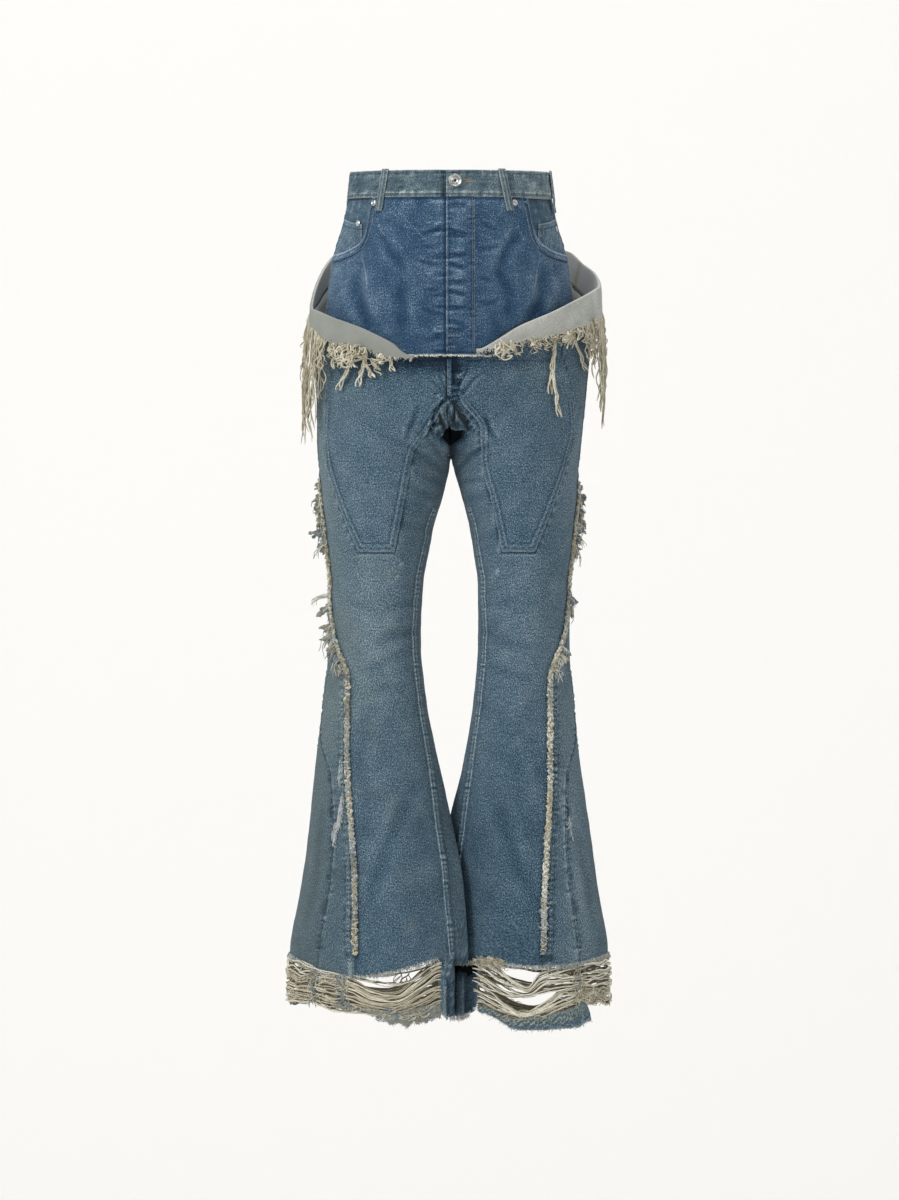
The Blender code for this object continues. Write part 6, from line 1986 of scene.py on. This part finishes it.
def make_fray_cords(side, rng):
    """Thick yarns that wind and knot along the seam, in overlapping lengths."""
    paths, tones, radii = [], [], []
    t = np.linspace(0, 1, 40)
    for start in np.repeat(np.arange(FRAY_TOP, HEM_SIDE + 30, -17.0), 3):
        long = rng.uniform(24, 56)
        level = np.clip(start + rng.uniform(-6, 6) - long * t, HEM_SIDE + 3, FRAY_TOP + 4)
        turn = rng.uniform(0.45, 0.95) * long * t
        phase = rng.uniform(0, 6, 3)
        off = 3.0 * np.sin(turn + phase[0]) * rng.uniform(0.5, 1.2) + 1.3 * np.sin(2.3 * turn + phase[1])
        level = level + 1.8 * np.cos(turn * 1.3 + phase[2])
        lift = 2.0 + 1.3 * np.sin(turn * 1.7 + phase[1]) + rng.uniform(0, 0.8)
        paths.append(fray_place(side, level, off, lift))
        # Cords on the right are painted lighter, against the shade on that side.
        tones.append(rng.uniform(-0.6, 0.6) + 0.3 * (side == "right"))
        radii.append(rng.uniform(0.8, 1.5))
    tubes(f"side_fray_{side}_cords", paths, radii, 4, ["yarn", "blue_yarn"], tones,
          pick=draw_blue(rng, len(paths), 0.66))


def make_fray_pile(side, rng):
    """Short ends that stand up along the seam."""
    count = 900
    level = rng.uniform(HEM_SIDE + 4, FRAY_TOP, count)
    off = rng.uniform(-1, 1, count) * 3.4
    angle = side_bound(FRAYED, level, side, off)
    here = leg_surface(side, angle, level, 1.2)[:, None]
    out = outward_at(side, angle, level)[:, None]
    t = np.linspace(0, 1, 5)[None, :, None]
    thick = 0.6 + 0.5 * waves(level, 0 * level, 38, 26.0, 3)[:, None, None]
    length = rng.uniform(2.0, 6.2, (count, 1, 1)) * np.clip(thick, 0.35, 1.4)
    lean = rng.uniform(-1, 1, (count, 1, 1)) + np.sign(off)[:, None, None] * 0.4
    path = (here + out * np.sin(t * 2.4) * length * 0.5 + np.cross(out, UP) * lean * length * t
            + UP * rng.uniform(-1.4, 1.0, (count, 1, 1)) * length * t)
    # Ends on the right are painted lighter, against the shade on that side.
    tubes(f"side_fray_{side}_pile", path, 0.5, 3, ["yarn", "blue_yarn"],
          rng.uniform(-0.7, 0.7, count) + 0.3 * (side == "right"), pick=draw_blue(rng, count, 0.7))


TATTERS = {
    # ragged bunches on the side seams: height, reach outwards, drop, threads, woven scraps
    "left": ((-406, 4, 9, 9, 1), (-424, 10, 16, 10, 2), (-436, 12, 18, 10, 3), (-452, 15, 18, 10, 3),
             (-470, 16, 18, 12, 3), (-484, 15, 22, 14, 2), (-556, 25, 14, 6, 0), (-570, 15, 26, 7, 1),
             (-598, 14, 20, 10, 2), (-610, 17, 28, 12, 3), (-622, 14, 32, 12, 3), (-636, 11, 30, 12, 3),
             (-652, 7, 16, 10, 2)),
    "right": ((-408, 4, 10, 8, 1), (-424, 9, 16, 10, 2), (-440, 12, 20, 12, 3), (-458, 12, 20, 10, 2),
              (-474, 11, 20, 10, 2), (-488, 9, 22, 12, 2), (-560, 10, 26, 8, 1), (-574, 7, 20, 8, 1),
              (-626, 11, 22, 12, 3), (-638, 15, 28, 14, 3), (-652, 14, 20, 14, 3)),
}
PANEL_TUFTS = {
    # torn tufts on the side panels: height, angle, threads
    "left": ((-785, 55, 22), (-797, 54, 18), (-834, 57, 34), (-846, 55.5, 40), (-858, 54, 44), (-870, 52, 40),
             (-881, 50.5, 26)),
    "right": ((-862, 45, 10), (-872, 44, 8)),
}
LONG_REACH = 20           # bunches that reach further out than this have only long threads


def make_tatters(side, rng):
    """Bunches of torn threads and woven scraps that hang off the side seam."""
    paths, tones, picks = [], [], []
    aside = np.array([SIGN[side], -0.25, 0.0])
    sway = np.array([SIGN[side], 0, 0.4])
    t = np.linspace(0, 1, 10)[None, :, None]
    for k, (level, reach, drop, count, woven) in enumerate(TATTERS[side]):
        z = level + rng.uniform(-4, 4, count)
        angle = track(FRAYED, "angle", z) + rng.uniform(-5, 1, count)
        here = leg_surface(side, angle, z, 1.2)[:, None]
        out = outward_at(side, angle, z)[:, None]
        size = rng.uniform(0.9 if reach > LONG_REACH else 0.3, 1.15, (count, 1, 1))
        far = reach * size * rng.uniform(0.8 if reach > LONG_REACH else 0.2, 1.0, (count, 1, 1))
        path = here + out * 1.8 * np.sin(3 * t) + aside * far * np.sin(t * 1.5) * 1.05
        path = path - UP * drop * size * t ** 1.5 * rng.uniform(0.5, 1.1, (count, 1, 1))
        for rate in (1.0, 2.3):
            phase = rng.uniform(0, 6, (count, 2, 1))
            path = path + sway * np.sin(5 * rate * t + phase[:, :1]) * 1.7 / rate * t
            path = path + out * np.sin(4 * rate * t + phase[:, 1:]) * 1.3 / rate * t
        paths.append(path)
        # Threads on the right are painted lighter, against the shade on that side.
        tones.append(rng.uniform(-0.3, 0.8, count) + 0.2 * (side == "right"))
        picks.append(draw_blue(rng, count, 0.55))
        for piece in range(woven):
            make_scrap(side, f"side_scrap_{side}_{k + 1}_{piece + 1}", level - 5.0 * piece,
                       reach * (0.9 - 0.5 * piece), drop, rng)
    for level, turn, count in PANEL_TUFTS[side]:
        z = level + rng.uniform(-9, 9, count)
        angle = turn + rng.uniform(-1.2, 1.2, count)
        out = outward_at(side, angle, z)[:, None]
        across = np.cross(out, UP) * rng.uniform(-1, 1, (count, 1, 1))
        path = leg_surface(side, angle, z, 0.6)[:, None] + out * 1.6 * np.sin(3 * t) + across * 4.0 * t
        path = path - UP * rng.uniform(3, 13, (count, 1, 1)) * t
        paths.append(path + across * np.sin(7 * t) * 0.8)
        tones.append(rng.uniform(0.0, 0.9, count))
        picks.append(np.ones(count, int))
    tubes(f"side_fray_{side}_threads", np.concatenate(paths), 0.52, 4, ["yarn", "blue_yarn"],
          np.concatenate(tones), pick=np.concatenate(picks))


def make_scrap(side, name, level, reach, drop, rng):
    """Crumpled torn piece of weave, held along the seam by one edge."""
    rows, cols = 10, 13
    r, c = grid(rows, cols, -1)
    half = rng.uniform(4.5, 8.5)
    angle = float(track(FRAYED, "angle", level)) - 3.0
    root = leg_surface(side, angle, level, 1.2)
    out = outward_at(side, angle, level)
    aside = np.array([SIGN[side], -0.25, 0.0])
    run = np.array([0.12 * SIGN[side], 0.2, 0.97])
    phase = rng.uniform(0, 6, 4)
    far = reach * rng.uniform(0.55, 1.0) * (1 + 0.3 * np.sin(3.3 * c + phase[0]))
    down = max(drop, 9.0) * rng.uniform(0.15, 0.5)
    across = far * np.sin(r * 1.45) + 1.5 * r * np.sin(6 * c + phase[1])
    curl = np.sin(4.2 * c + 4 * r + phase[2])
    bulge = 1.4 * np.sin(3 * r) + 1.9 * curl * (0.3 + r)
    width = half * (1 - 0.45 * r) * c + 1.2 * np.sin(5 * r + phase[3])
    outer = (root + aside * across[..., None] + run * width[..., None] + out * bulge[..., None]
             - UP * (down * r ** 1.4)[..., None])
    fray = rng.uniform(-1.6, 1.6, (rows, cols, 3))
    for cut in ((-1, slice(None)), (slice(None), 0), (slice(None), -1)):
        outer[cut] += fray[cut]
    tone = "wrong" if rng.uniform() < 0.6 else "leg"
    wash = 0.25 + 0.45 * curl - 0.5 * (1 - blend(r, 0.0, 0.3))
    grid_shell(name, outer, outer - out * 0.5, [tone, "wrong"], wash, 0.3, origin=(float(level), 3000),
               sheet=False, rim=(1, 1, 1, 1))


def make_stitches():
    rng = np.random.default_rng(64)
    for thread, lines in STITCHES.items():
        path = np.concatenate(lines)
        tubes(f"stitches_{thread}", path, 0.36, 4, [thread], rng.uniform(-0.4, 0.5, len(path)), tip=0.6)


# ------------------------------------------------------------------ stage, light and camera, in metres

PIXEL = 1.35              # millimetres of the object in one pixel of the photograph
WAIST_ROW = 184           # photograph row of the origin
PHOTO_HEIGHT = 1200
PHOTO_CENTRE = 449.5 - 450
CAMERA_AWAY = 14.0
SHARP_PLANE = 0.05        # in front of the origin, where the photograph's scale holds
FLOOR_LEVEL = -1.9
FLOOR_CORNERS = ((-12, -9), (12, -9), (12, 12), (-12, 12))
SWEEP_DEPTH = 4.5
SWEEP_RADIUS = 2.2
SWEEP_HALF = 1.2
SWEEP_TOP = 9.0
SWEEP_STEPS = 16


def make_stage():
    """Pale floor, and a narrow sweep that curves up behind the object."""
    profile = []
    for angle in np.linspace(0, math.pi / 2, SWEEP_STEPS + 1):
        profile.append((SWEEP_DEPTH - SWEEP_RADIUS * (1 - math.sin(angle)),
                        FLOOR_LEVEL + SWEEP_RADIUS * (1 - math.cos(angle))))
    profile.append((SWEEP_DEPTH, SWEEP_TOP))
    verts = [(x, y, z) for y, z in profile for x in (-SWEEP_HALF, SWEEP_HALF)]
    faces = [(2 * k, 2 * k + 1, 2 * k + 3, 2 * k + 2) for k in range(len(profile) - 1)]
    faces.insert(0, tuple(range(len(verts), len(verts) + 4)))
    verts += [(x, y, FLOOR_LEVEL) for x, y in FLOOR_CORNERS]
    mesh = bpy.data.meshes.new("backdrop")
    mesh.from_pydata(verts, [], faces)
    mesh.shade_smooth()
    pale, _, shader = new_material("pale_backdrop", Roughness=0.95, Specular_IOR_Level=0.1)
    shader.inputs["Base Color"].default_value = (0.93, 0.925, 0.91, 1)
    mesh.materials.append(pale)
    stage = bpy.data.objects.new("backdrop", mesh)
    bpy.context.scene.collection.objects.link(stage)


def make_light(name, place, aim, size, power, colour=(1, 1, 1)):
    data = bpy.data.lights.new(name, "AREA")
    data.shape = "RECTANGLE"
    data.size, data.size_y = size
    data.energy = power
    data.color = colour
    light = bpy.data.objects.new(name, data)
    light.location = place
    light.rotation_euler = (Vector(aim) - Vector(place)).to_track_quat("-Z", "Y").to_euler()
    bpy.context.scene.collection.objects.link(light)


LIGHTS = (
    # name, place, aim, size, power in watts, colour; the wall and floor lights light the backdrop alone
    ("key", (-3.2, -3.0, 2.2), (0, 0, -0.5), (1.4, 1.4), 128, (1.0, 0.99, 0.97)),
    ("fill", (3.6, -4.0, -0.3), (0, 0, -0.6), (2.6, 2.6), 30, (1, 1, 1)),
    ("top", (0.4, -0.6, 3.2), (0, 0, -0.4), (2.0, 1.4), 30, (1, 1, 1)),
    ("wall_left", (-3.4, 1.4, 1.2), (-0.6, 4.4, -0.4), (1.6, 3.0), 29, (1, 1, 1)),
    ("wall_right", (3.4, 1.4, 1.2), (0.6, 4.4, -0.4), (1.6, 3.0), 29, (1, 1, 1)),
    ("floor", (0.0, 2.2, 2.6), (0.0, 2.6, -1.3), (4.0, 2.0), 29, (1, 1, 1)),
)
WORLD_COLOUR = (1.0, 0.995, 0.98, 1)
WORLD_STRENGTH = 0.42


def make_lights():
    """Pale surroundings and the lights of the table."""
    world = bpy.data.worlds.new("studio")
    world.use_nodes = True
    set_inputs(world.node_tree.nodes["Background"], Color=WORLD_COLOUR, Strength=WORLD_STRENGTH)
    bpy.context.scene.world = world
    for row in LIGHTS:
        make_light(*row)


def make_camera():
    data = bpy.data.cameras.new("camera")
    height = PHOTO_HEIGHT * PIXEL * MM
    data.sensor_width = 36.0
    data.lens = data.sensor_width * (CAMERA_AWAY - SHARP_PLANE) / height
    data.clip_end = 60
    camera = bpy.data.objects.new("camera", data)
    level = (WAIST_ROW - PHOTO_HEIGHT / 2) * PIXEL * MM
    camera.location = (PHOTO_CENTRE * PIXEL * MM, -CAMERA_AWAY, level)
    camera.rotation_euler = (math.radians(90), 0, 0)
    bpy.context.scene.collection.objects.link(camera)
    bpy.context.scene.camera = camera
    bpy.context.scene.view_settings.view_transform = "Standard"


make_camera()
make_waistband()
make_belt_loops()
make_upper_fronts()
make_fly()
make_pockets()
make_yokes()
make_hardware()
for leg_side in SIDES:
    make_flap(leg_side)
make_legs()
make_fringes()
make_tangles()
make_edge_hairs()
make_hem_yarns()
for leg_side in SIDES:
    make_hem_strip(leg_side, "front")
    make_hem_strip(leg_side, "back")
make_side_frays()
make_stitches()
make_stage()
make_lights()
